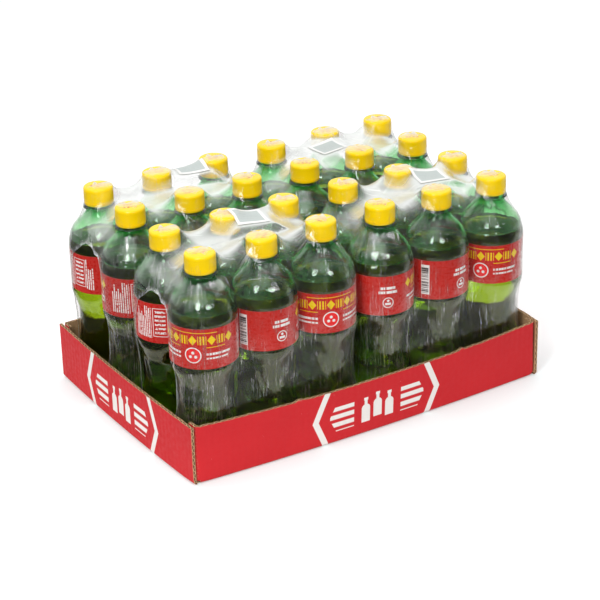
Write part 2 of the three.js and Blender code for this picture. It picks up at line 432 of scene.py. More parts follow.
def mottled(tree, colour, vector, broad, fine, strength):
    value = use(tree, MOTTLE, {"Vector": vector, "Broad": broad, "Fine": fine, "Strength": strength})["Value"]
    grey = put(tree, "ShaderNodeCombineColor", {0: value, 1: value, 2: value}).outputs[0]
    sockets = {0: 1.0, 6: colour, 7: grey}
    return put(tree, "ShaderNodeMix", sockets, data_type="RGBA", blend_type="MULTIPLY").outputs[2]


# Finishes

GREEN_BODY = (0.58, 0.95, 0.6, 1)
GREEN_NECK = (0.06, 0.56, 0.13, 1)
AMBER = (0.97, 0.56, 0.01, 1)
RED_LABEL = (0.55, 0.021, 0.014, 1)
BRIGHT_RED = (0.85, 0.02, 0.02, 1)
LABEL_YELLOW = (0.86, 0.62, 0.01, 1)
PAPER_WHITE = (0.88, 0.88, 0.86, 1)
CAP_YELLOW = (1.0, 0.68, 0.0, 1)
BOARD_RED = (0.6, 0.022, 0.028, 1)
KRAFT = (0.42, 0.24, 0.12, 1)
KRAFT_PALE = (0.6, 0.39, 0.21, 1)
# The floor beside the tray, as the camera sees it: a painted cool grey shade, against the red light that the
# tray throws on it
PAINTED_SHADE_FLOOR = (0.74, 0.86, 0.86, 1)
# What the film mirrors, where it is clear and where it hangs over a hollow
CLEAR_TINT = (0.92, 0.94, 0.92, 1)
HAZY_TINT = (0.86, 0.88, 0.86, 1)
FOLD_DEPTH = 0.7
# The pitch of the fine upright lines on the label
LINE_STEP = 2.3
# The pitch of the board's flutes
FLUTE_STEP = 7.0


def bottle_shader(tree):
    """Green clear plastic, darker where the neck is thick."""
    _, height, _ = split(tree, unwrapped(tree, "wrap"))
    at_neck = ramp(tree, height, 176, 192)
    colour = blend(tree, at_neck, GREEN_BODY, GREEN_NECK)
    vector = in_millimetres(tree)
    roughness = ramp(tree, grains(tree, vector, 0.15), 0.3, 0.7, 0.03, 0.06)
    ripple = bumped(tree, grains(tree, vector, 0.12, 2), 0.25)
    return shader(
        tree,
        {
            "Base Color": colour,
            "Roughness": roughness,
            "IOR": 1.5,
            "Transmission Weight": 1.0,
            "Normal": ripple,
        },
    )


def drink_shader(tree):
    vector = in_millimetres(tree)
    colour = mottled(tree, AMBER, vector, 0.02, 0.1, 0.08)
    return shader(
        tree,
        {"Base Color": colour, "Roughness": 0.02, "IOR": 1.33, "Transmission Weight": 1.0},
    )


def cap_shader(tree):
    """Moulded yellow plastic with two broken rows of small dark red dashes stamped on top."""
    vector = in_millimetres(tree)
    x, y, _ = split(tree, unwrapped(tree, "wrap"))
    colour = mottled(tree, CAP_YELLOW, vector, 0.06, 0.9, 0.05)
    rows = either(tree, box(tree, x, y, 0, 2.9, 6.6, 2.0), box(tree, x, y, 1.2, -2.9, 4.8, 2.0))
    broken = ramp(tree, grains(tree, vector, 0.42, 2, 0.6), 0.44, 0.54)
    stamped = calc(tree, "MULTIPLY", both(tree, rows, broken, stripes(tree, x, 3.6, 0.68)), 0.85)
    colour = blend(tree, stamped, colour, (0.45, 0.02, 0.02, 1))
    bump = bumped(tree, grains(tree, vector, 1.4, 3), 0.06)
    return shader(
        tree,
        {
            "Base Color": colour,
            "Roughness": ramp(tree, grains(tree, vector, 0.6), 0.3, 0.7, 0.14, 0.24),
            "Specular IOR Level": 0.4,
            "Normal": bump,
        },
    )


def label_print(tree, x, y):
    """The masks of the label's yellow, white and bright red print. x runs round from the front."""
    wide = calc(tree, "ABSOLUTE", x)

    # The medal in the middle of the front, with three small dots
    medal = disc(tree, x, y, 0, 14.5, 8.2)
    medal_field = disc(tree, x, y, 0, 14.5, 7.1)
    dots = either(
        tree,
        disc(tree, x, y, -2.6, 13, 1.5),
        disc(tree, x, y, 2.6, 13, 1.5),
        disc(tree, x, y, 0, 17, 1.5),
    )

    # A row of lozenges and bars over it
    step = 9.2
    along = calc(tree, "DIVIDE", calc(tree, "ADD", x, step * 4.5), step)
    place = calc(tree, "FLOOR", along)
    across = calc(tree, "MULTIPLY", calc(tree, "SUBTRACT", calc(tree, "SUBTRACT", along, place), 0.5), step)
    side = calc(tree, "ABSOLUTE", across)
    up = calc(tree, "ABSOLUTE", calc(tree, "SUBTRACT", y, 30.0))
    lozenge = calc(tree, "ADD", calc(tree, "DIVIDE", side, 4.2), calc(tree, "DIVIDE", up, 5.0))
    lozenge = ramp(tree, lozenge, 1.04, 0.96)
    bars = both(tree, stripes(tree, across, 2.9, 0.55), ramp(tree, up, 4.5, 4.2), ramp(tree, side, 4.3, 4.1))
    odd = calc(tree, "MODULO", calc(tree, "ABSOLUTE", place), 2.0)
    even = calc(tree, "SUBTRACT", 1.0, odd)
    turns = calc(tree, "ADD", both(tree, lozenge, even), both(tree, bars, odd))
    row = both(tree, turns, ramp(tree, wide, 41.5, 41.2))
    rules = both(tree, box(tree, y, wide, 37.6, 0, 0.35, 24), ramp(tree, wide, 24, 23.8))
    rules = either(tree, rules, box(tree, wide, y, 22.5, 22.6, 9.5, 0.35))
    yellow = either(tree, row, rules)

    # Broken white lines beside the medal
    word_gaps = grains(tree, pair(tree, calc(tree, "MULTIPLY", x, 0.9), 3.3), 1.0, 1)
    broken = ramp(tree, word_gaps, 0.40, 0.46)
    lines = either(
        tree,
        box(tree, wide, y, 26, 15.6, 13, 1.15),
        box(tree, wide, y, 24, 11.2, 11, 0.9),
    )
    lines = both(tree, lines, broken)

    # Two short lines and a round mark at the side
    side_lines = either(
        tree,
        box(tree, x, y, -61, 29, 7.5, 1.4),
        box(tree, x, y, -61, 24.6, 9.5, 1.4),
    )
    side_lines = both(tree, side_lines, ramp(tree, word_gaps, 0.36, 0.44))
    mark = calc(tree, "SUBTRACT", disc(tree, x, y, -61, 13.5, 5.6), disc(tree, x, y, -61, 13.5, 4.7))
    mark = either(tree, mark, box(tree, x, y, -61, 12.2, 3.0, 1.2), disc(tree, x, y, -61, 15.6, 1.3))

    # Ragged columns of fine upright lines
    column = calc(tree, "FLOOR", calc(tree, "DIVIDE", x, LINE_STEP))
    ragged = grains(tree, pair(tree, column, 7.1), 0.77, 0)
    top = ramp(tree, ragged, 0.3, 0.7, 27, 38)
    dashes = grains(tree, pair(tree, calc(tree, "MULTIPLY", column, 5.3), y), 0.9, 2, 0.6)
    upright = both(
        tree,
        stripes(tree, x, LINE_STEP, 0.52),
        ramp(tree, calc(tree, "SUBTRACT", top, y), 0, 0.4),
        ramp(tree, y, 4.6, 5.0),
        ramp(tree, dashes, 0.36, 0.46),
    )
    columns = either(tree, box(tree, x, y, 60.5, 21, 9.6, 20), box(tree, x, y, 92.2, 21, 4.2, 20))
    upright = both(tree, upright, columns)

    # A framed table
    outer = box(tree, x, y, 79.5, 22, 7.6, 15)
    frame_line = calc(tree, "SUBTRACT", outer, box(tree, x, y, 79.5, 22, 7.0, 14.4))
    table = both(tree, box(tree, x, y, 79.5, 22, 5.4, 12.5), stripes(tree, y, 4.4, 0.5))
    table = both(tree, table, ramp(tree, grains(tree, pair(tree, x, y), 0.6, 1), 0.4, 0.48))

    # A plain block of uneven bars at the back
    block = box(tree, x, y, -101, 21, 5.2, 16)
    uneven = grains(tree, pair(tree, 4.2, y), 1.5, 1)
    bars = both(tree, ramp(tree, uneven, 0.47, 0.5), box(tree, x, y, -101, 21, 4.2, 14.5))

    white = either(tree, calc(tree, "SUBTRACT", medal, medal_field), both(tree, dots, medal_field))
    white = either(tree, white, lines, side_lines, mark, upright, frame_line, table, block)
    return yellow, white, both(tree, medal_field, calc(tree, "SUBTRACT", 1.0, dots)), bars


def label_shader(tree):
    """Glossy red film print with yellow and white shapes, pale on its inner side."""
    vector = unwrapped(tree, "wrap")
    x, y, _ = split(tree, vector)
    yellow, white, bright, bars = label_print(tree, x, y)
    colour = mottled(tree, RED_LABEL, vector, 0.05, 1.2, 0.12)
    colour = blend(tree, bright, colour, BRIGHT_RED)
    colour = blend(tree, yellow, colour, LABEL_YELLOW)
    colour = blend(tree, white, colour, PAPER_WHITE)
    colour = blend(tree, bars, colour, (0.05, 0.04, 0.04, 1))
    glue_line = box(tree, x, y, -104.0, 21, 0.5, 22)
    colour = blend(tree, calc(tree, "MULTIPLY", glue_line, 0.3), colour, PAPER_WHITE)
    inner = attribute(tree, "inner")
    colour = blend(tree, inner, colour, (0.6, 0.5, 0.4, 1))
    wrinkles = grains(tree, stretched(tree, vector, (0.35, 0.03, 1)), 1.0, 3, 0.55)
    bump = bumped(tree, wrinkles, 0.5)
    return shader(
        tree,
        {
            "Base Color": colour,
            "Roughness": ramp(tree, grains(tree, vector, 0.3), 0.3, 0.7, 0.24, 0.36),
            "Specular IOR Level": 0.35,
            "Normal": bump,
        },
    )


def film_shader(tree):
    """Clear shrink film: it mirrors more where it is seen along its surface, and whitens in folds."""
    drape = unwrapped(tree, "drape")
    gathered = attribute(tree, "gathered")
    free = attribute(tree, "free")
    rim = attribute(tree, "rim")
    folds = use(tree, FOLDS, {"Vector": drape, "Gathered": gathered})
    bump = bumped(tree, folds["Height"], FOLD_DEPTH)
    normal = put(tree, "ShaderNodeNewGeometry").outputs["Normal"]
    _, _, facing_up = split(tree, normal)
    place = in_millimetres(tree)
    _, _, height = split(tree, place)
    grazing = put(tree, "ShaderNodeLayerWeight", {"Blend": 0.5}).outputs["Facing"]
    mirror = calc(tree, "MULTIPLY", calc(tree, "POWER", grazing, 3.4), 0.78)
    flat = ramp(tree, facing_up, 0.6, 0.92)
    on_top = both(tree, flat, ramp(tree, free, 0, 1, 0.2, 0.76), ramp(tree, grazing, 0.2, 0.55, 0.25, 1.0))
    cloud = ramp(tree, grains(tree, place, 0.05, 3), 0.35, 0.7, 0.022, 0.045)
    cloud = calc(tree, "MULTIPLY", cloud, ramp(tree, height, 196, 202, 1.0, 0.35))
    hanging = both(tree, ramp(tree, free, 0.3, 1.0, 0.0, 0.26), ramp(tree, height, 160, 185))
    hanging = calc(tree, "MULTIPLY", hanging, ramp(tree, grazing, 0.15, 0.5, 0.3, 1.0))
    over_hollows = calc(tree, "MAXIMUM", on_top, hanging)
    haze = calc(tree, "MINIMUM", calc(tree, "ADD", calc(tree, "ADD", mirror, over_hollows), cloud), 0.85)
    creases = calc(tree, "MULTIPLY", folds["Creases"], 0.45)
    whitened = calc(tree, "ADD", calc(tree, "MULTIPLY", rim, 0.6), creases)
    tint = blend(tree, ramp(tree, over_hollows, 0.0, 0.3), CLEAR_TINT, HAZY_TINT)
    roughness = ramp(tree, whitened, 0.0, 0.6, 0.08, 0.3)
    roughness = either(tree, roughness, calc(tree, "MULTIPLY", flat, 0.34))
    return shader(
        tree,
        {
            "Base Color": tint,
            "Metallic": 0.85,
            "Roughness": roughness,
            "Alpha": calc(tree, "ADD", haze, whitened, clamp=True),
            "Normal": bump,
        },
    )


def sticker_shader(tree):
    """White paper with a pale grey field and a few broken lines."""
    vector = unwrapped(tree, "sheet")
    x, y, _ = split(tree, vector)
    field = box(tree, x, y, 0, 0, STICKER_X / 2 - 3.2, STICKER_Y / 2 - 4.2)
    lines = both(
        tree,
        stripes(tree, y, 3.4, 0.3),
        box(tree, x, y, 0, -1.5, STICKER_X / 2 - 6, 6.5),
        ramp(tree, grains(tree, vector, 0.8, 1), 0.46, 0.52),
    )
    colour = mottled(tree, PAPER_WHITE, vector, 0.05, 1.5, 0.05)
    colour = blend(tree, calc(tree, "MULTIPLY", field, 0.9), colour, (0.46, 0.52, 0.5, 1))
    colour = blend(tree, calc(tree, "MULTIPLY", lines, 0.35), colour, (0.3, 0.33, 0.33, 1))
    bump = bumped(tree, grains(tree, vector, 0.6, 3), 0.08)
    return shader(tree, {"Base Color": colour, "Roughness": 0.45, "Normal": bump})


def silhouette(tree, x, y, centre, foot):
    """A plain bottle shape for the tray's print."""
    return either(
        tree,
        box(tree, x, y, centre, foot + 8, 5.0, 8),
        disc(tree, x, y, centre, foot + 16, 5.0),
        box(tree, x, y, centre, foot + 22, 1.7, 4.5),
        box(tree, x, y, centre, foot + 27.2, 2.4, 1.6),
    )


def tray_print(tree, x, y):
    """A white six-sided outline cut by the panel's edges, round three bottles and stacked bars."""
    wide = calc(tree, "ABSOLUTE", x)
    up = calc(tree, "ABSOLUTE", calc(tree, "SUBTRACT", y, 31.0))
    reach = calc(tree, "ADD", wide, calc(tree, "MULTIPLY", up, 0.42))
    outline = both(tree, ramp(tree, reach, 69, 69.4), ramp(tree, reach, 76.4, 76))
    feet = ((-14, 16), (0, 19), (14, 16))
    bottles = either(tree, *[silhouette(tree, x, y, place, foot) for place, foot in feet])
    bars = both(
        tree,
        stripes(tree, y, 9.2, 0.56),
        box(tree, wide, y, 42, 29.5, 14, 14.2),
        ramp(tree, calc(tree, "ADD", wide, calc(tree, "MULTIPLY", up, 0.5)), 57, 56.6),
    )
    return either(tree, outline, bottles, bars)


def fluted(tree, along):
    """The wave of the board's flutes, from -1 to 1."""
    return calc(tree, "SINE", calc(tree, "MULTIPLY", along, 2 * math.pi / FLUTE_STEP))


def printed_board_shader(tree):
    """Red print on corrugated board, rubbed at its edges and folds."""
    vector = unwrapped(tree, "sheet")
    x, y, _ = split(tree, vector)
    colour = mottled(tree, BOARD_RED, vector, 0.012, 0.8, 0.1)
    shapes = both(tree, tray_print(tree, x, y), ramp(tree, grains(tree, vector, 1.3, 4, 0.7), 0.22, 0.32))
    colour = blend(tree, shapes, colour, (0.86, 0.85, 0.81, 1))
    worn = attribute(tree, "worn")
    rubbed = use(tree, WEAR, {"Worn": worn, "Vector": vector, "Scale": 0.45, "Amount": 0.42})["Mask"]
    torn = use(tree, WEAR, {"Worn": worn, "Vector": vector, "Scale": 0.9, "Amount": 0.36})["Mask"]
    colour = blend(tree, calc(tree, "MULTIPLY", rubbed, 0.55), colour, (0.62, 0.2, 0.17, 1))
    colour = blend(tree, torn, colour, KRAFT_PALE)
    specks = ramp(tree, grains(tree, vector, 0.75, 2, 0.4), 0.78, 0.8)
    colour = blend(tree, calc(tree, "MULTIPLY", specks, 0.5), colour, PAPER_WHITE)
    bump = bumped(tree, fluted(tree, x), 0.05)
    bump = bumped(tree, grains(tree, vector, 0.9, 4, 0.6), 0.12, bump)
    return shader(
        tree,
        {
            "Base Color": colour,
            "Roughness": ramp(tree, grains(tree, vector, 0.2), 0.3, 0.7, 0.5, 0.68),
            "Specular IOR Level": 0.15,
            "Normal": bump,
        },
    )


def kraft_shader(tree):
    """Raw brown liner with short fibres and the flutes showing through."""
    vector = unwrapped(tree, "sheet")
    x, _, _ = split(tree, vector)
    fibres = grains(tree, stretched(tree, vector, (0.4, 2.5, 1)), 0.8, 4, 0.7)
    colour = blend(tree, ramp(tree, fibres, 0.3, 0.7), KRAFT, KRAFT_PALE)
    colour = mottled(tree, colour, vector, 0.02, 1.2, 0.15)
    bump = bumped(tree, fluted(tree, x), 0.12)
    bump = bumped(tree, fibres, 0.12, bump)
    return shader(tree, {"Base Color": colour, "Roughness": 0.85, "Specular IOR Level": 0.2, "Normal": bump})


def cut_edge_shader(tree):
    """The cut edge of corrugated board: two liners with the wave between them, and the flute hollows painted
    dark as painted shade.
    """
    vector = unwrapped(tree, "sheet")
    along, depth, _ = split(tree, vector)
    off_middle = calc(tree, "SUBTRACT", depth, BOARD / 2)
    off_wave = calc(tree, "ABSOLUTE", calc(tree, "SUBTRACT", off_middle, fluted(tree, along)))
    middle = calc(tree, "ABSOLUTE", off_middle)
    board_lines = either(tree, ramp(tree, off_wave, 0.7, 0.4), ramp(tree, middle, 0.95, 1.15))
    pale = mottled(tree, KRAFT_PALE, vector, 0.1, 1.6, 0.35)
    # Away from the liners and the wave, the flute hollows get a dark colour: painted shade.
    colour = blend(tree, board_lines, (0.12, 0.06, 0.03, 1), pale)
    bump = bumped(tree, board_lines, 0.5)
    bump = bumped(tree, grains(tree, vector, 1.6, 3), 0.3, bump)
    return shader(tree, {"Base Color": colour, "Roughness": 0.9, "Specular IOR Level": 0.2, "Normal": bump})


def floor_shader(tree):
    """White to the camera, with painted shade beside the tray. What mirrors it finds it dark at the left, and
    in front from farther off, as painted dark reflections; bounced light finds it darker in front too.
    """
    vector = in_millimetres(tree)
    x, y, _ = split(tree, vector)
    off_x = calc(tree, "MAXIMUM", calc(tree, "SUBTRACT", calc(tree, "ABSOLUTE", x), TRAY_HALF_X), 0.0)
    off_y = calc(tree, "MAXIMUM", calc(tree, "SUBTRACT", calc(tree, "ABSOLUTE", y), TRAY_HALF_Y), 0.0)
    squares = calc(tree, "ADD", calc(tree, "MULTIPLY", off_x, off_x), calc(tree, "MULTIPLY", off_y, off_y))
    far = ramp(tree, calc(tree, "SQRT", squares), 170, 250)
    towards = dot(tree, vector, from_angles(CAMERA_TURN, 0))
    # Painted dark reflections and painted shade: rays other than the camera's find the floor dark in front
    # from farther off, and mirrored rays also at the left.
    dark = both(tree, far, ramp(tree, towards, 0, 120))
    colour = blend(tree, dark, (0.9, 0.9, 0.9, 1), (0.22, 0.22, 0.22, 1))
    # Painted shade: the floor the camera sees turns cooler and greyer towards the tray.
    painted_shade_near = ramp(tree, calc(tree, "SQRT", squares), 90, 0)
    pale = blend(tree, painted_shade_near, (0.92, 0.92, 0.92, 1), PAINTED_SHADE_FLOOR)
    ray = put(tree, "ShaderNodeLightPath").outputs
    aside = ramp(tree, x, -TRAY_HALF_X - 45, -TRAY_HALF_X - 100)
    mirrored_dark = both(tree, ray["Is Glossy Ray"], calc(tree, "MAXIMUM", dark, aside))
    colour = blend(tree, mirrored_dark, colour, (0.08, 0.08, 0.08, 1))
    seen = ray["Is Camera Ray"]
    colour = blend(tree, seen, colour, mottled(tree, pale, vector, 0.002, 0.02, 0.01))
    lit = blend(tree, seen, (0, 0, 0, 1), (1, 1, 1, 1))
    return shader(
        tree,
        {
            "Base Color": colour,
            "Roughness": 0.8,
            "Specular IOR Level": 0.1,
            "Emission Color": lit,
            "Emission Strength": 0.2,
        },
    )


GREEN_PLASTIC = finish("green_bottle_plastic", bottle_shader)
DRINK = finish("amber_drink", drink_shader)
YELLOW_CAP = finish("yellow_cap_plastic", cap_shader)
LABEL_FILM = finish("red_label_film", label_shader)
SHRINK_FILM = finish("clear_shrink_film", film_shader)
STICKER_PAPER = finish("white_sticker_paper", sticker_shader)
RED_BOARD = finish("red_printed_board", printed_board_shader)
BROWN_BOARD = finish("brown_board_inside", kraft_shader)
CUT_BOARD = finish("board_cut_edge", cut_edge_shader)
PALE_FLOOR = finish("pale_floor", floor_shader)


# Round pieces


def smooth_line(points, steps):
    """A smooth line through (radius, height) points, with steps for each stretch."""
    ends = [points[0]] + points + [points[-1]]
    line = []
    for a, b, c, d in zip(ends, ends[1:], ends[2:], ends[3:]):
        for k in range(steps):
            t = k / steps
            line.append(
                tuple(
                    0.5
                    * (
                        2 * q
                        + (r - p) * t
                        + (2 * p - 5 * q + 4 * r - s) * t * t
                        + (3 * q - p - 3 * r + s) * t**3
                    )
                    for p, q, r, s in zip(a, b, c, d)
                )
            )
    return line + [points[-1]]


def moved_in(line, distance_at):
    """The line moved towards the inside of the turned piece by distance_at(height)."""
    result = []
    for k, (r, z) in enumerate(line):
        before = line[max(k - 1, 0)]
        after = line[min(k + 1, len(line) - 1)]
        dr = after[0] - before[0]
        dz = after[1] - before[1]
        length = math.hypot(dr, dz) or 1.0
        distance = distance_at(z)
        result.append((max(r - dz / length * distance, 0.0), z + dr / length * distance))
    return result


def body_line():
    """The bottle's outer line from the middle of its foot to the neck."""
    belly = smooth_line(
        [
            (0.0, 4.0),
            (11.0, 3.4),
            (20.0, 0.9),
            (26.0, 0.05),
            (30.4, 2.6),
            (32.8, 8.5),
            (33.4, 16.0),
            (33.2, 27.0),
            (31.5, 40.0),
            (28.9, 51.0),
            (27.7, 60.0),
            (27.6, 72.0),
            (27.8, 84.0),
            (29.8, 94.0),
            (32.5, 102.5),
            (33.4, 108.6),
        ],
        4,
    )
    recess = [(33.0, z) for z in np.linspace(110.0, 154.0, 6)]
    dome = smooth_line(
        [
            (33.4, 155.4),
            (32.9, 160.5),
            (30.8, 169.3),
            (27.9, 175.0),
            (24.2, 179.4),
            (19.0, 184.6),
            (14.8, 189.4),
            (13.2, 193.2),
        ],
        5,
    )
    return belly + [(float(r), float(z)) for r, z in recess] + dome


def turned(line, segments):
    """A line of (radius, height) points spun round Z, closed at its poles, with faces outwards."""
    shape = bmesh.new()
    points = [shape.verts.new((r, 0, z)) for r, z in line]
    edges = [shape.edges.new(ends) for ends in zip(points, points[1:])]
    bmesh.ops.spin(
        shape,
        geom=points + edges,
        cent=(0, 0, 0),
        axis=(0, 0, 1),
        dvec=(0, 0, 0),
        angle=2 * math.pi,
        steps=segments,
        use_merge=True,
    )
    bmesh.ops.remove_doubles(shape, verts=shape.verts[:], dist=0.002)
    bmesh.ops.recalc_face_normals(shape, faces=shape.faces[:])
    return shape


def lay_wrap(shape, radius, foot=0.0):
    """Gives each face its place on the unrolled piece: the way round from +X and the height, in 100 mm."""
    layer = shape.loops.layers.uv.new("wrap")
    for face in shape.faces:
        middle = face.calc_center_median()
        about = math.atan2(middle.y, middle.x)
        for loop in face.loops:
            x, y, z = loop.vert.co
            angle = math.atan2(y, x) if math.hypot(x, y) > 0.01 else about
            if angle - about > math.pi:
                angle -= 2 * math.pi
            if about - angle > math.pi:
                angle += 2 * math.pi
            loop[layer].uv = (angle * radius / 100, (z - foot) / 100)


def soft_step(value, low, high):
    t = min(max((value - low) / (high - low), 0.0), 1.0)
    return t * t * (3 - 2 * t)


def mould_bottle(shape):
    """The five feet, the slanting flutes of the waist and the facets of the dome."""
    for vert in shape.verts:
        x, y, z = vert.co
        r = math.hypot(x, y)
        if r < 0.01:
            continue
        angle = math.atan2(y, x)
        valley = (0.5 - 0.5 * math.cos(5 * angle)) ** 3
        at_foot = soft_step(r, 9, 22) * (1 - soft_step(z, 2, 24))
        lift = 3.2 * valley * at_foot
        dent = 1.1 * valley * at_foot
        at_waist = soft_step(z, 42, 56) * (1 - soft_step(z, 86, 98))
        flute = max(0.0, math.cos(7 * angle + 0.075 * z)) ** 6
        ring = max(0.0, math.cos((z - 72) * 0.42)) ** 8
        dent += at_waist * (0.75 * flute + 0.35 * ring)
        at_dome = soft_step(z, 157, 166) * (1 - soft_step(z, 177, 184))
        corner = abs(((math.degrees(angle) / 60) % 1) - 0.5) * 2
        dent += 0.8 * at_dome * (1 - corner)
        zigzag = abs(z - (163.5 + 4.5 * corner))
        dent += 0.75 * (1 - soft_step(zigzag, 0.3, 1.5)) * (z > 155.5)
        scale = (r - dent) / r
        vert.co = (x * scale, y * scale, z + lift)


def smooth_mesh(shape, name, sharp_over=None):
    mesh = bpy.data.meshes.new(name)
    shape.to_mesh(mesh)
    shape.free()
    mesh.polygons.foreach_set("use_smooth", [True] * len(mesh.polygons))
    if sharp_over:
        mesh.set_sharp_from_angle(angle=math.radians(sharp_over))
    return mesh


def wall_template():
    """The bottle's plastic wall, open at the mouth, with screw threads on the neck."""
    outer = body_line()
    inner = moved_in(outer, lambda z: BODY_WALL + (NECK_WALL - BODY_WALL) * soft_step(z, 172, 191))
    ring = [(13.2, 194.7), (15.9, 195.2), (16.5, 196.0), (16.2, 196.9), (13.4, 197.6), (FINISH_R, 198.4)]
    thread_r = FINISH_R + 0.55
    finish_line = [(FINISH_R, 202.0)]
    for z in (203.5, 206.7, 209.9):
        finish_line += [(FINISH_R, z), (thread_r, z + 0.7), (thread_r, z + 1.2), (FINISH_R, z + 1.9)]
    lip = [(FINISH_R, MOUTH_Z - 0.5), (FINISH_R - 0.4, MOUTH_Z)]
    lip += [(BORE_R + 0.3, MOUTH_Z), (BORE_R, MOUTH_Z - 0.4)]
    bore = [(BORE_R, 205.0), (BORE_R, 197.0)]
    shape = turned(outer + ring + finish_line + lip + bore + inner[::-1], BOTTLE_SEGMENTS)
    lay_wrap(shape, 33.3)
    mould_bottle(shape)
    return smooth_mesh(shape, "wall_template")


def drink_template():
    """The drink, whose side lies within the wall, up to its level."""
    side = [p for p in moved_in(body_line(), lambda z: DRINK_IN_WALL) if p[1] < DRINK_LEVEL - 1.5]
    top_r = side[-1][0] - 0.9
    top = [(top_r + 0.3, DRINK_LEVEL + 0.4)] + [(r, DRINK_LEVEL) for r in (top_r - 1.2, top_r - 4, 0)]
    shape = turned(side + top, BOTTLE_SEGMENTS)
    lay_wrap(shape, 33.3)
    mould_bottle(shape)
    return smooth_mesh(shape, "drink_template", 50)


def label_template():
    """The label: a thin closed band with its inner side marked."""
    heights = [float(z) for z in np.linspace(LABEL_FOOT, LABEL_TOP, 8)]
    line = [(LABEL_OUTSIDE, z) for z in heights] + [(LABEL_INSIDE, z) for z in heights[::-1]]
    shape = turned(line + line[:1], BOTTLE_SEGMENTS)
    lay_wrap(shape, LABEL_OUTSIDE, LABEL_FOOT)
    marks = shape.verts.layers.float.new("inner")
    for vert in shape.verts:
        vert[marks] = 1.0 if math.hypot(vert.co.x, vert.co.y) < (LABEL_INSIDE + LABEL_OUTSIDE) / 2 else 0.0
    return smooth_mesh(shape, "label_template", 40)


def cap_template():
    """The screw cap: knurled skirt, tamper band below a groove, and a rounded top edge."""
    line = [(0.0, CAP_TOP), (8.0, CAP_TOP), (12.4, CAP_TOP - 0.05)]
    edge_r = 2.4
    for k in range(1, 7):
        turn = k / 6 * math.pi / 2
        r = CAP_R - edge_r + edge_r * math.sin(turn)
        line.append((r, CAP_TOP - 0.1 - edge_r + edge_r * math.cos(turn)))
    knurl_top = 213.6
    knurl_foot = 203.6
    line += [(CAP_R, knurl_top), (CAP_R, knurl_top - 0.5), (CAP_R, knurl_foot + 0.5), (CAP_R, knurl_foot)]
    line += [(CAP_R, 202.9), (CAP_R - 0.55, 202.6), (CAP_R - 0.55, 202.2), (CAP_R, 201.9)]
    line += [(CAP_R, CAP_FOOT + 0.5)]
    line += [(CAP_R - 0.4, CAP_FOOT), (CAP_BORE_R + 0.3, CAP_FOOT), (CAP_BORE_R, CAP_FOOT + 0.4)]
    line += [(CAP_BORE_R, 202.0), (CAP_BORE_R, 214.6), (CAP_BORE_R - 0.8, CAP_INSIDE_Z), (0.0, CAP_INSIDE_Z)]
    shape = turned(line, CAP_SEGMENTS)
    layer = shape.loops.layers.uv.new("wrap")
    for face in shape.faces:
        on_top = face.calc_center_median().z > CAP_TOP - 1
        for loop in face.loops:
            x, y, z = loop.vert.co
            loop[layer].uv = (x / 100, y / 100) if on_top else ((x + 50) / 100, z / 100)
    for vert in shape.verts:
        x, y, z = vert.co
        r = math.hypot(x, y)
        if r < CAP_R - 0.1 or not knurl_foot < z < knurl_top:
            continue
        segment = round(math.atan2(y, x) / (2 * math.pi / CAP_SEGMENTS))
        if segment % 2:
            vert.co = (x * (1 - KNURL_DEPTH / r), y * (1 - KNURL_DEPTH / r), z)
    return smooth_mesh(shape, "cap_template", 40)


def place_piece(name, mesh, place, materials, replaces=None):
    """Makes a piece from a mesh in millimetres, moved by place, and hands it to the frame."""
    mesh = mesh.copy()
    mesh.name = name
    mesh.transform(Matrix.Scale(MM, 4) @ place)
    for material in materials:
        mesh.materials.append(material)
    piece = bpy.data.objects.new(name, mesh)
    scene.collection.objects.link(piece)
    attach(piece, "root")
    if replaces:
        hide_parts(replaces)
    return piece


def fill_bottles():
    wall = wall_template()
    drink = drink_template()
    label = label_template()
    cap = cap_template()
    rng = np.random.default_rng(11)
    for column in range(COLUMNS):
        for row in range(ROWS):
            label_turn = float(rng.uniform(-180, 180))
            label_turn = LABEL_TURNS.get((column, row), label_turn)
            bottle_turn, cap_turn = (float(a) for a in rng.uniform(-math.pi, math.pi, 2))
            where = place_name(column, row)
            stand = Matrix.Translation(bottle_foot(column, row))
            turned_bottle = stand @ Matrix.Rotation(bottle_turn, 4, "Z")
            turned_label = stand @ Matrix.Rotation(math.radians(label_turn), 4, "Z")
            turned_cap = stand @ Matrix.Rotation(cap_turn, 4, "Z")
            place_piece(f"wall_{where}", wall, turned_bottle, [GREEN_PLASTIC], f"bottle_{where}")
            place_piece(f"drink_{where}", drink, turned_bottle, [DRINK])
            place_piece(f"label_{where}", label, turned_label, [LABEL_FILM])
            place_piece(f"screwcap_{where}", cap, turned_cap, [YELLOW_CAP], f"cap_{where}")


# The film


def bottle_distance():
    """How far a point is outside a capped bottle, by its distance from the axis and its height."""
    line = np.array(
        [
            (26, 3.9),
            (33.5, 14),
            (33.0, 40),
            (27.8, 56),
            (27.8, 92),
            (33.5, 110),
            (33.5, 159),
            (33.0, 164.5),
            (30.9, 173.3),
            (28.0, 179),
            (24.3, 183.4),
            (19.1, 188.6),
            (14.9, 193.4),
            (15.1, 203.2),
            (15.1, 219.6),
            (15.0, 220.6),
            (14.2, 221.4),
            (12.9, 221.8),
            (0.0, 221.8),
        ]
    )
    radii = np.arange(0, 60.0)
    heights = np.arange(0, 240.0)
    r, z = np.meshgrid(radii, heights, indexing="ij")
    nearest = np.full(r.shape, 1e9)
    for a, b in zip(line, line[1:]):
        span = b - a
        t = np.clip(((r - a[0]) * span[0] + (z - a[1]) * span[1]) / (span @ span), 0, 1)
        nearest = np.minimum(nearest, np.hypot(r - a[0] - t * span[0], z - a[1] - t * span[1]))
    outline = np.interp(z, line[:, 1], line[:, 0])
    inside = (r < outline) & (z < 221.8)
    distance = np.where(inside, -nearest, nearest)
    slope_r, slope_z = np.gradient(distance)
    return distance, slope_r, slope_z


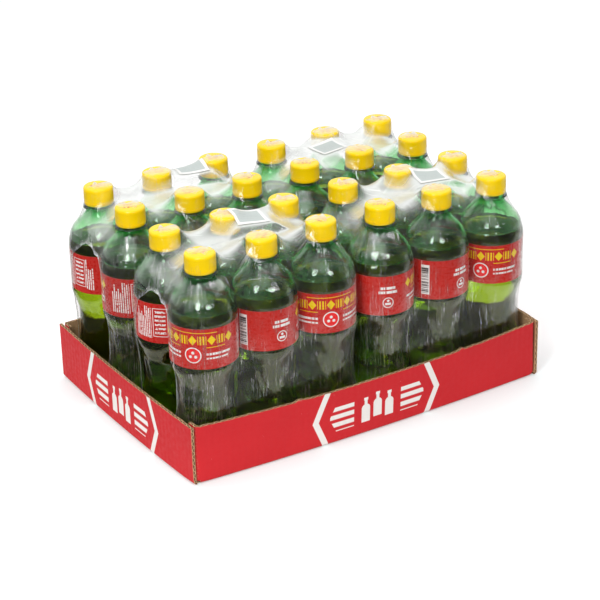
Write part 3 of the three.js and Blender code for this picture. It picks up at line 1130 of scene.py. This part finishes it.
def looked_up(table, r, z):
    """Reads a table between its whole millimetres."""
    r = np.clip(r, 0, table.shape[0] - 1.001)
    z = np.clip(z, 0, table.shape[1] - 1.001)
    i = r.astype(int)
    j = z.astype(int)
    u = r - i
    v = z - j
    near = table[i, j] * (1 - u) + table[i + 1, j] * u
    far = table[i, j + 1] * (1 - u) + table[i + 1, j + 1] * u
    return near * (1 - v) + far * v


def nearest_axis(points):
    x = np.clip(np.round(points[:, 0] / PITCH), -1, 1) * PITCH
    y = np.where(points[:, 1] < 0, -PITCH / 2, PITCH / 2)
    return x, y


def kept_off(points, tables, gap):
    """Pushes points out of the bottles."""
    x, y = nearest_axis(points)
    dx = points[:, 0] - x
    dy = points[:, 1] - y
    r = np.maximum(np.hypot(dx, dy), 1e-6)
    distance, slope_r, slope_z = (looked_up(table, r, points[:, 2]) for table in tables)
    push = np.maximum(gap - distance, 0)
    length = np.maximum(np.hypot(slope_r, slope_z), 1e-6)
    out = push * slope_r / length
    points[:, 0] += dx / r * out
    points[:, 1] += dy / r * out
    points[:, 2] += push * slope_z / length
    return points


def lattice(rng, u, v, cells_u, cells_v):
    """Smooth random values of about -1 to 1 over u and v in 0..1, the same at both ends of u."""
    table = rng.uniform(-1, 1, (cells_u, cells_v + 2))
    a = (u % 1.0) * cells_u
    b = np.clip(v, 0, 0.9999) * cells_v
    i = a.astype(int)
    j = b.astype(int)
    s = a - i
    t = b - j
    s = s * s * (3 - 2 * s)
    t = t * t * (3 - 2 * t)
    near = table[i % cells_u, j] * (1 - s) + table[(i + 1) % cells_u, j] * s
    far = table[i % cells_u, j + 1] * (1 - s) + table[(i + 1) % cells_u, j + 1] * s
    return near * (1 - t) + far * t


def film_block():
    """A cube cut into a fine grid, bent to the pack's rounded outline."""
    shape = bmesh.new()
    bmesh.ops.create_cube(shape, size=2)
    bmesh.ops.subdivide_edges(shape, edges=shape.edges[:], cuts=FILM_CUTS, use_grid_fill=True)
    shape.verts.ensure_lookup_table()
    return shape


def film_start(cube):
    """Where the cube's points start: straight walls, a slope from the shoulders, a flat top over the caps."""
    core_x = PITCH
    core_y = PITCH / 2
    x = cube[:, 0] * (core_x + FILM_R)
    y = cube[:, 1] * (core_y + FILM_R)
    inner_x = np.clip(x, -core_x, core_x)
    inner_y = np.clip(y, -core_y, core_y)
    dx = x - inner_x
    dy = y - inner_y
    reach = np.maximum(np.abs(dx), np.abs(dy))
    length = np.maximum(np.hypot(dx, dy), 1e-9)
    px = inner_x + dx / length * reach
    py = inner_y + dy / length * reach
    on_top = cube[:, 2] > 0.9999
    share = (cube[:, 2] + 1) / 2
    z = FILM_FOOT_Z + share * (FILM_SHOULDER_Z - FILM_FOOT_Z)
    slope = np.clip((reach - 15.8) / (FILM_R - 15.8), 0, 1)
    z = np.where(on_top, FILM_TOP_Z - slope * (FILM_TOP_Z - FILM_SHOULDER_Z), z)
    return np.column_stack([px, py, z])


def drawn_tight(points, edges, weights, tables):
    """Lets the film shrink onto the bottles: every point moves to the middle of its neighbours."""
    count = len(points)
    a, b = edges.T
    total = np.bincount(a, weights, count) + np.bincount(b, weights, count)
    held = points[:, 2] < FILM_FOOT_Z + 0.5
    start = points.copy()
    for _ in range(FILM_ROUNDS):
        mean = np.empty_like(points)
        for k in range(3):
            pulled = np.bincount(a, weights * points[b, k], count)
            pulled += np.bincount(b, weights * points[a, k], count)
            mean[:, k] = pulled / total
        points = points * 0.15 + mean * 0.85
        high = np.clip((points[:, 2] - 185) / 20, 0, 1)
        points[:, 2] -= 0.035 * high
        wall = np.clip((150 - points[:, 2]) / 30, 0, 1)
        points[:, 1] -= 0.012 * wall * np.sign(points[:, 1]) * (np.abs(points[:, 1]) > PITCH / 2)
        points = kept_off(points, tables, FILM_GAP)
        points[held] = start[held]
    return points


def gathered_share(points):
    """Where the film is drawn together: the lower walls at the pack's ends, and a little on the slopes."""
    at_end = np.clip((np.abs(points[:, 0]) - 66) / 24, 0, 1)
    low = 1 - np.clip((points[:, 2] - 166) / 26, 0, 1)
    return at_end * low


def film_wrinkles(points, normals, rng):
    """Upright pleats on the walls, thickest at the ends, and folds running down from the caps."""
    x, y = nearest_axis(points)
    dx = points[:, 0] - x
    dy = points[:, 1] - y
    r = np.hypot(dx, dy)
    round_cap = np.arctan2(dy, dx) / (2 * np.pi) + (x + 3 * y) * 0.013
    round_pack = np.arctan2(points[:, 1] * 1.6, points[:, 0]) / (2 * np.pi)
    height = points[:, 2] / 230
    at_end = gathered_share(points)
    low = 1 - np.clip((points[:, 2] - 150) / 25, 0, 1)
    pleats = lattice(rng, round_pack, height, 150, 2) * (0.12 + 0.75 * at_end) * low
    pleats += lattice(rng, round_pack, height, 64, 2) * (0.15 + 0.6 * at_end) * low
    on_slope = np.clip((r - 14) / 6, 0, 1) * np.clip((points[:, 2] - 158) / 12, 0, 1)
    folds = lattice(rng, round_cap, height, 22, 3) * 0.4 * on_slope
    folds += lattice(rng, round_cap, height, 9, 2) * 0.45 * on_slope
    between = np.clip((r - 19) / 10, 0, 1) * np.clip((points[:, 2] - 175) / 12, 0, 1)
    broad = lattice(rng, points[:, 0] / 210 + 0.5, points[:, 1] / 140 + 0.5, 9, 7) * 1.2 * between
    move = np.clip(pleats + folds + broad, -2.2, 0.55)
    move[points[:, 2] < FILM_FOOT_Z + 0.6] = 0
    return points + normals * move[:, None]


def vertex_normals(points, faces):
    a, b, c, d = (points[faces[:, k]] for k in range(4))
    across = np.cross(c - a, d - b)
    total = np.zeros_like(points)
    for k in range(4):
        for axis in range(3):
            total[:, axis] += np.bincount(faces[:, k], across[:, axis], len(points))
    return total / np.maximum(np.linalg.norm(total, axis=1), 1e-9)[:, None]


def opening_edge(angle, side):
    """How far the torn edge of an opening strays from its oval, as a factor."""
    wave = 0.03 * np.sin(3 * angle + side) + 0.02 * np.sin(7 * angle + 2.1 * side) + 0.01 * np.sin(17 * angle)
    return 1 + wave


def open_ends(shape):
    """Cuts the round openings that shrinking leaves at both ends, and marks the thick edge round them."""
    marks = shape.verts.layers.float.new("rim")
    gone = []
    for vert in shape.verts:
        x, y, z = vert.co
        if abs(x) < PITCH - 5:
            continue
        side = math.copysign(1, x)
        across = (y + side * OPENING_Y) / OPENING_HALF_WIDTH
        up = (z - OPENING_Z) / OPENING_HALF_HEIGHT
        angle = math.atan2(up, across)
        total = abs(across) ** OPENING_SQUARENESS + abs(up) ** OPENING_SQUARENESS
        reach = total ** (1 / OPENING_SQUARENESS) / opening_edge(angle, side)
        if reach < 0.97:
            gone.append(vert)
        elif reach < 1.03:
            shift = 1 / reach
            new_y = (y + side * OPENING_Y) * shift - side * OPENING_Y
            vert.co = (x, new_y, OPENING_Z + (z - OPENING_Z) * shift)
        vert[marks] = float(np.clip(1 - abs(reach - 1) / 0.06, 0, 1))
    bmesh.ops.delete(shape, geom=gone, context="VERTS")


def sticker_place(pack):
    """The middle of a sticker and its turn, at floor height."""
    low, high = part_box(f"sticker_{pack}")
    middle = Vector(((low.x + high.x) / 2, (low.y + high.y) / 2, 0)) / MM
    return Matrix.Translation(middle) @ Matrix.Rotation(math.radians(STICKER_TURNS[pack]), 4, "Z")


def held_up(points, pack):
    """Raises the film under the stiffer sticker."""
    to_sheet = np.array(sticker_place(pack).inverted() @ pack_place(pack))
    across = points[:, :2] @ to_sheet[:2, :2].T + to_sheet[:2, 3]
    reach = np.maximum(np.abs(across[:, 0]) / STICKER_X, np.abs(across[:, 1]) / STICKER_Y) * 2
    share = np.clip(2.1 - reach, 0, 1)
    share = share * share * (3 - 2 * share) * STICKER_LIFT * (points[:, 2] > 185)
    points[:, 2] += share * np.maximum(FILM_TOP_Z - 1.2 - points[:, 2], 0)
    return points


def lay_drape(mesh, offset):
    """Gives each face of a film its place round the nearest bottle and its height, in 100 mm."""
    points = np.empty(len(mesh.vertices) * 3)
    mesh.vertices.foreach_get("co", points)
    corners = np.empty(len(mesh.loops), dtype=np.int32)
    mesh.loops.foreach_get("vertex_index", corners)
    corners = points.reshape(-1, 3)[corners].reshape(-1, 4, 3)
    middle = corners.mean(axis=1)
    x, y = (place[:, None] for place in nearest_axis(middle))
    about = np.arctan2(middle[:, 1:2] - y, middle[:, 0:1] - x)
    angle = np.arctan2(corners[:, :, 1] - y, corners[:, :, 0] - x)
    angle = about + (angle - about + np.pi) % (2 * np.pi) - np.pi
    along = angle * 33 + x * 5 + y * 17 + offset
    layer = mesh.uv_layers.new(name="drape")
    layer.data.foreach_set("uv", np.stack([along, corners[:, :, 2]], axis=2).ravel() / 100)


def pull_weights(start, edges, cube):
    """How hard each edge of the film pulls: upright on the walls, outwards from the caps on the slopes."""
    upright = np.abs(cube[edges[:, 0], 2] - cube[edges[:, 1], 2]) > 1e-6
    weights = np.where(upright, 2.5, 1.0)
    middle = (start[edges[:, 0]] + start[edges[:, 1]]) / 2
    x, y = nearest_axis(middle)
    out = np.column_stack([middle[:, 0] - x, middle[:, 1] - y])
    span = start[edges[:, 1], :2] - start[edges[:, 0], :2]
    lengths = np.hypot(*out.T) * np.hypot(*span.T)
    aligned = np.sum(out * span, axis=1) / np.maximum(lengths, 1e-6)
    on_top = np.all(cube[edges, 2] > 0.9999, axis=1)
    return weights + np.where(on_top, RADIAL_PULL * aligned**2, 0)


def make_films():
    shape = film_block()
    cube = np.array([v.co for v in shape.verts])
    edges = np.array([[v.index for v in e.verts] for e in shape.edges])
    faces = np.array([[v.index for v in f.verts] for f in shape.faces])
    tables = bottle_distance()
    start = film_start(cube)
    tight = drawn_tight(start, edges, pull_weights(start, edges, cube), tables)
    films = {}
    for index, pack in enumerate(PACK_CORNERS):
        rng = np.random.default_rng(31 + index)
        points = film_wrinkles(tight, vertex_normals(tight, faces), rng)
        points = held_up(kept_off(points, tables, FILM_GAP * 0.7), pack)
        x, y = nearest_axis(points)
        off_bottle = looked_up(tables[0], np.hypot(points[:, 0] - x, points[:, 1] - y), points[:, 2])
        sheet = shape.copy()
        sheet.verts.ensure_lookup_table()
        free = sheet.verts.layers.float.new("free")
        gathered = sheet.verts.layers.float.new("gathered")
        shares = zip(sheet.verts, points, np.clip((off_bottle - 0.8) / 3, 0, 1), gathered_share(points))
        for vert, point, free_share, gathered_here in shares:
            vert.co = point
            vert[free] = float(free_share)
            vert[gathered] = float(gathered_here)
        open_ends(sheet)
        mesh = smooth_mesh(sheet, f"film_sheet_{pack}")
        lay_drape(mesh, index * 900)
        place = pack_place(pack)
        films[pack] = place_piece(f"wrap_{pack}", mesh, place, [SHRINK_FILM], f"film_{pack}")
    shape.free()
    return films


def lay_stickers(films):
    """A paper sheet pressed onto the film of each pack, nearly flat over the hollow between the caps."""
    for pack, film in films.items():
        place = sticker_place(pack)
        film_points = [v.co / MM for v in film.data.vertices]
        tree = BVHTree.FromPolygons(film_points, [p.vertices[:] for p in film.data.polygons])
        shape = bmesh.new()
        bmesh.ops.create_grid(shape, x_segments=24, y_segments=20, size=0.5, calc_uvs=False)
        layer = shape.loops.layers.uv.new("sheet")
        for vert in shape.verts:
            vert.co = (vert.co.x * STICKER_X, vert.co.y * STICKER_Y, 0)
        for face in shape.faces:
            for loop in face.loops:
                loop[layer].uv = (loop.vert.co.x / 100, loop.vert.co.y / 100)
        for vert in shape.verts:
            x, y, _ = place @ vert.co
            hit = tree.ray_cast(Vector((x, y, 300)), Vector((0, 0, -1)))[0]
            vert.co = (x, y, hit.z + 0.3)
        on_film = [vert.co.z + 0.1 for vert in shape.verts]
        for _ in range(6):
            bmesh.ops.smooth_vert(shape, verts=shape.verts[:], factor=0.5, use_axis_z=True)
            for vert, lowest in zip(shape.verts, on_film):
                vert.co.z = max(vert.co.z, lowest)
        bmesh.ops.recalc_face_normals(shape, faces=shape.faces[:])
        bmesh.ops.solidify(shape, geom=shape.faces[:], thickness=-0.15)
        bmesh.ops.recalc_face_normals(shape, faces=shape.faces[:])
        mesh = smooth_mesh(shape, f"paper_{pack}", 50)
        place_piece(f"paper_{pack}", mesh, Matrix.Identity(4), [STICKER_PAPER], f"sticker_{pack}")


# The tray

OUTSIDE = 0
INSIDE = 1
CUT = 2
BOARD_FINISHES = [RED_BOARD, BROWN_BOARD, CUT_BOARD]


def flat_board(across, up, is_cut_away=None):
    """A flat sheet of board with grid lines at the given places: outside at z 0, inside at z BOARD."""
    shape = bmesh.new()
    last_x = len(across) - 1
    last_y = len(up) - 1
    bmesh.ops.create_grid(shape, x_segments=last_x, y_segments=last_y, size=0.5)
    for vert in shape.verts:
        i = round((vert.co.x + 0.5) * last_x)
        j = round((vert.co.y + 0.5) * last_y)
        vert.co = (across[i], up[j], 0)
    if is_cut_away:
        away = [f for f in shape.faces if is_cut_away(*f.calc_center_median().xy)]
        bmesh.ops.delete(shape, geom=away, context="FACES")
    bmesh.ops.solidify(shape, geom=shape.faces[:], thickness=BOARD)
    for vert in shape.verts:
        vert.co.z = BOARD if abs(vert.co.z) > BOARD / 2 else 0.0
    layer = shape.loops.layers.uv.new("sheet")
    for face in shape.faces:
        heights = [v.co.z for v in face.verts]
        if max(heights) < 0.1:
            face.material_index = OUTSIDE
        elif min(heights) > 0.1:
            face.material_index = INSIDE
        else:
            face.material_index = CUT
        along_x = abs(face.verts[0].co.x - face.verts[2].co.x) > abs(face.verts[0].co.y - face.verts[2].co.y)
        for loop in face.loops:
            x, y, z = loop.vert.co
            if face.material_index == CUT:
                loop[layer].uv = ((x if along_x else y) / 100, z / 100)
            else:
                loop[layer].uv = (x / 100, y / 100)
    return shape


def with_edges(low, high, step):
    """Evenly spaced values with a few closer ones at both ends."""
    middle = np.linspace(low + 4, high - 4, max(2, round((high - low - 8) / step)))
    near = [low, low + 0.7, low + 1.6, low + 2.8]
    far = [high - 2.8, high - 1.6, high - 0.7, high]
    return [float(v) for v in near + list(middle) + far]


def slit_width(z):
    return SLIT_FOOT + (SLIT_TOP - SLIT_FOOT) * z / TRAY_HEIGHT


FOOT_ARC = FOOT_FOLD_R * math.pi / 2
WALL_UP = FOOT_ARC + TRAY_HEIGHT - FOOT_FOLD_R


def folded_up(up, depth):
    """How far in from the outer face, and how high, a point of a wall is after its foot is folded."""
    if up < FOOT_ARC:
        turn = up / FOOT_FOLD_R
        r = FOOT_FOLD_R - depth
        return FOOT_FOLD_R - r * math.sin(turn), FOOT_FOLD_R - r * math.cos(turn)
    return depth, up - FOOT_ARC + FOOT_FOLD_R


def long_wall_point(s, up, depth):
    """A point of the front wall: s runs along it and round its corners."""
    inset, z = folded_up(up, depth)
    face_x = TRAY_HALF_X - BOARD - slit_width(z)
    straight = face_x - CORNER_FOLD_R
    side = math.copysign(1, s)
    over = abs(s) - straight
    if over <= 0:
        t = s / face_x
        bow = LONG_BOW_FOOT + (LONG_BOW_TOP - LONG_BOW_FOOT) * z / TRAY_HEIGHT
        lift = -RIM_DIP * (1 - t * t) * (z / TRAY_HEIGHT) ** 2
        return Vector((s, -TRAY_HALF_Y - bow * (1 - t * t) + inset, z + lift))
    arc = CORNER_FOLD_R * math.pi / 2
    r = CORNER_FOLD_R - inset
    if over < arc:
        turn = over / CORNER_FOLD_R
        x = side * (straight + r * math.sin(turn))
        return Vector((x, -TRAY_HALF_Y + CORNER_FOLD_R - r * math.cos(turn), z))
    return Vector((side * (face_x - inset), -TRAY_HALF_Y + CORNER_FOLD_R + over - arc, z))


def short_wall_point(s, up, depth):
    """A point of the left end panel."""
    inset, z = folded_up(up, depth)
    t = s / TRAY_HALF_Y
    return Vector((-TRAY_HALF_X - SHORT_BOW * (1 - t * t) + inset, -s, z))


def chipped(rng, values, size):
    """A small random step for each of a list of places."""
    rough = rng.normal(0, size, len(values))
    return dict(zip([round(v, 3) for v in values], rough))


def mark_wear(shape, half_length, corners):
    """Marks how near the sheet's edges and folds each point is."""
    marks = shape.verts.layers.float.new("worn")
    for vert in shape.verts:
        s, up, _ = vert.co
        nearest = min(WALL_UP - up, abs(up - FOOT_ARC * 0.6), half_length - abs(s))
        for fold in corners:
            nearest = min(nearest, abs(abs(s) - fold))
        vert[marks] = max(0.0, 1 - max(nearest, 0) / 4.0)


def crushed(point, centre, reach, depth):
    """Pushes a point in near a knocked corner."""
    away = (point - centre).length
    share = max(0.0, 1 - away / reach)
    inward = Vector((-centre.x, -centre.y, 0)).normalized()
    return point + inward * depth * share * share


NEAR_FOOT_CORNER = Vector((-TRAY_HALF_X, -TRAY_HALF_Y, 0))


def make_long_wall(name, turn, seed):
    rng = np.random.default_rng(seed)
    face_x = TRAY_HALF_X - BOARD
    corner = face_x - CORNER_FOLD_R - SLIT_FOOT
    fold_end = corner + CORNER_FOLD_R * math.pi / 2
    end = fold_end + TAB_LENGTH - CORNER_FOLD_R
    middle = [float(v) for v in np.linspace(-corner + 4, corner - 4, 99)]
    fold = [corner + k * CORNER_FOLD_R * math.pi / 12 for k in range(0, 7)]
    tab = [fold_end + 2, fold_end + 4.5, end - 0.8, end]
    right = [corner - 2] + fold + tab
    across = [-v for v in right[::-1]] + middle + right
    up = [FOOT_ARC * k / 5 for k in range(6)] + with_edges(FOOT_ARC + 0.8, WALL_UP, 4)
    shape = flat_board(across, up, lambda s, h: abs(s) > corner and h < FOOT_ARC)
    chips = chipped(rng, across, 0.28)
    nubs = {round(v, 3): 0.0 for v in across}
    if turn == 0:
        for place, size in RIM_NUBS:
            for v in middle:
                nubs[round(v, 3)] += size * max(0.0, 1 - abs(v - place) / 4.5)
    mark_wear(shape, end, [corner + 2.5])
    for vert in shape.verts:
        s, h, depth = vert.co
        if h > WALL_UP - 0.01:
            h += min(chips[round(s, 3)], 0.3) - 0.3 + nubs[round(s, 3)]
        point = long_wall_point(s, h, depth)
        if turn == 0:
            point = crushed(point, NEAR_FOOT_CORNER, 26, 1.2)
        vert.co = point
    bmesh.ops.recalc_face_normals(shape, faces=shape.faces[:])
    mesh = smooth_mesh(shape, name, 35)
    return place_piece(name, mesh, Matrix.Rotation(turn, 4, "Z"), BOARD_FINISHES)


def make_short_wall(name, turn, seed):
    rng = np.random.default_rng(seed)
    half = TRAY_HALF_Y - 0.4
    across = with_edges(-half, half, 4)
    up = [FOOT_ARC * k / 5 for k in range(6)] + with_edges(FOOT_ARC + 0.8, WALL_UP, 4)
    shape = flat_board(across, up)
    chips = chipped(rng, across, 0.3)
    ends = chipped(rng, up, 0.15)
    mark_wear(shape, half, [])
    for vert in shape.verts:
        s, h, depth = vert.co
        if h > WALL_UP - 0.01:
            h += min(chips[round(s, 3)], 0.3) - 0.3
        if abs(abs(s) - half) < 0.01:
            s += math.copysign(ends[round(vert.co.y, 3)], s)
        point = short_wall_point(s, h, depth)
        if turn == 0:
            point = crushed(point, NEAR_FOOT_CORNER, 26, 1.2)
        vert.co = point
    bmesh.ops.recalc_face_normals(shape, faces=shape.faces[:])
    mesh = smooth_mesh(shape, name, 35)
    return place_piece(name, mesh, Matrix.Rotation(turn, 4, "Z"), BOARD_FINISHES)


def make_base():
    """The tray's floor, between the folds of the walls."""
    steps = [float(v) for v in np.linspace(-1, 1, 61)]
    shape = flat_board(steps, [float(v) for v in np.linspace(-1, 1, 41)])
    layer = shape.loops.layers.uv["sheet"]
    marks = shape.verts.layers.float.new("worn")
    for face in shape.faces:
        for loop in face.loops:
            if face.material_index == CUT:
                continue
            loop[layer].uv = (loop.vert.co.x * 2 + 5, loop.vert.co.y * 1.4 + 5)
    for vert in shape.verts:
        u, v, depth = vert.co
        half_x = TRAY_HALF_X - FOOT_FOLD_R + 0.3 + SHORT_BOW * (1 - v * v)
        half_y = TRAY_HALF_Y - FOOT_FOLD_R + 0.3 + LONG_BOW_FOOT * (1 - u * u)
        vert.co = (u * half_x, v * half_y, depth)
        vert[marks] = 0.0
    bmesh.ops.recalc_face_normals(shape, faces=shape.faces[:])
    mesh = smooth_mesh(shape, "tray_floor", 35)
    return place_piece("tray_floor", mesh, Matrix.Identity(4), BOARD_FINISHES, "tray")


def make_tray():
    make_base()
    make_long_wall("tray_front_wall", 0, 5)
    make_long_wall("tray_back_wall", math.pi, 6)
    make_short_wall("tray_left_panel", 0, 7)
    make_short_wall("tray_right_panel", math.pi, 8)


# Floor, light and camera


def add_camera():
    back = from_angles(CAMERA_TURN, CAMERA_LIFT)
    right = (-back).cross(Vector((0, 0, 1))).normalized()
    up = right.cross(-back)
    cos, sin = math.cos(math.radians(CAMERA_ROLL)), math.sin(math.radians(CAMERA_ROLL))
    rolled_right = right * cos + up * sin
    rolled_up = up * cos - right * sin
    turn = Matrix((rolled_right, rolled_up, back)).transposed().to_4x4()
    data = bpy.data.cameras.new("photo_camera")
    data.sensor_width = SENSOR
    data.lens = FOCAL_PIXELS / PHOTO_SIZE * SENSOR
    data.shift_x = (PHOTO_SIZE / 2 - PHOTO_CENTRE[0]) / PHOTO_SIZE
    data.shift_y = (PHOTO_CENTRE[1] - PHOTO_SIZE / 2) / PHOTO_SIZE
    data.clip_end = 50
    camera = bpy.data.objects.new("photo_camera", data)
    camera.matrix_world = Matrix.Translation(CAMERA_TARGET + back * CAMERA_DISTANCE) @ turn
    scene.collection.objects.link(camera)
    scene.camera = camera


def add_lamp(name, turn, lift, distance, width, height, power):
    data = bpy.data.lights.new(name, "AREA")
    data.shape = "ELLIPSE"
    data.size = width
    data.size_y = height
    data.energy = power
    back = from_angles(turn, lift)
    lamp = bpy.data.objects.new(name, data)
    place = Matrix.Translation(Vector((0, 0, 0.15)) + back * distance)
    lamp.matrix_world = place @ back.to_track_quat("Z", "Y").to_matrix().to_4x4()
    scene.collection.objects.link(lamp)


def add_world():
    """White behind the case and above it, darker on the camera's side but for a pale panel up there."""
    world = bpy.data.worlds.new("studio")
    world.use_nodes = True
    tree = world.node_tree
    tree.nodes.clear()
    direction = put(tree, "ShaderNodeTexCoord").outputs["Generated"]
    towards_camera = dot(tree, direction, from_angles(CAMERA_TURN, 0))
    _, _, up = split(tree, direction)
    around = ramp(tree, towards_camera, -0.3, 0.6, 1.1, 0.2)
    side = dot(tree, direction, from_angles(DARK_SIDE, 0))
    around = calc(tree, "MULTIPLY", around, ramp(tree, side, 0.1, 0.9, 1.0, 0.35))
    overhead = ramp(tree, up, 0.55, 0.9)
    strength = calc(tree, "ADD", around, calc(tree, "MULTIPLY", overhead, 0.35))
    panel = dot(tree, direction, from_angles(PANEL_TURN, PANEL_LIFT))
    ray = put(tree, "ShaderNodeLightPath").outputs
    panel = both(tree, ramp(tree, panel, 0.88, 0.93), ray["Is Glossy Ray"])
    strength = calc(tree, "ADD", strength, calc(tree, "MULTIPLY", panel, PANEL_STRENGTH))
    strength = put(tree, "ShaderNodeMix", {0: ray["Is Camera Ray"], 2: strength, 3: 1.0}).outputs[0]
    background = put(tree, "ShaderNodeBackground", {"Color": (1, 1, 1, 1), "Strength": strength})
    output = put(tree, "ShaderNodeOutputWorld")
    tree.links.new(background.outputs[0], output.inputs["Surface"])
    scene.world = world


def add_floor():
    shape = bmesh.new()
    bmesh.ops.create_grid(shape, x_segments=12, y_segments=12, size=4000)
    for vert in shape.verts:
        vert.co.z = -0.4
    mesh = smooth_mesh(shape, "floor")
    mesh.transform(Matrix.Scale(MM, 4))
    mesh.materials.append(PALE_FLOOR)
    floor = bpy.data.objects.new("floor", mesh)
    scene.collection.objects.link(floor)


make_tray()
fill_bottles()
lay_stickers(make_films())
add_floor()
add_world()
add_lamp("right_lamp", -3, 29, 2.0, 0.6, 0.7, 10.5)
add_lamp("left_lamp", -52, 34, 1.7, 0.45, 1.1, 14.5)
add_camera()

scene.view_settings.view_transform = "Standard"
scene.view_settings.look = "None"
scene.cycles.use_denoising = True
scene.cycles.max_bounces = 26
scene.cycles.transmission_bounces = 24
scene.cycles.glossy_bounces = 6
scene.cycles.diffuse_bounces = 4
scene.cycles.transparent_max_bounces = 24
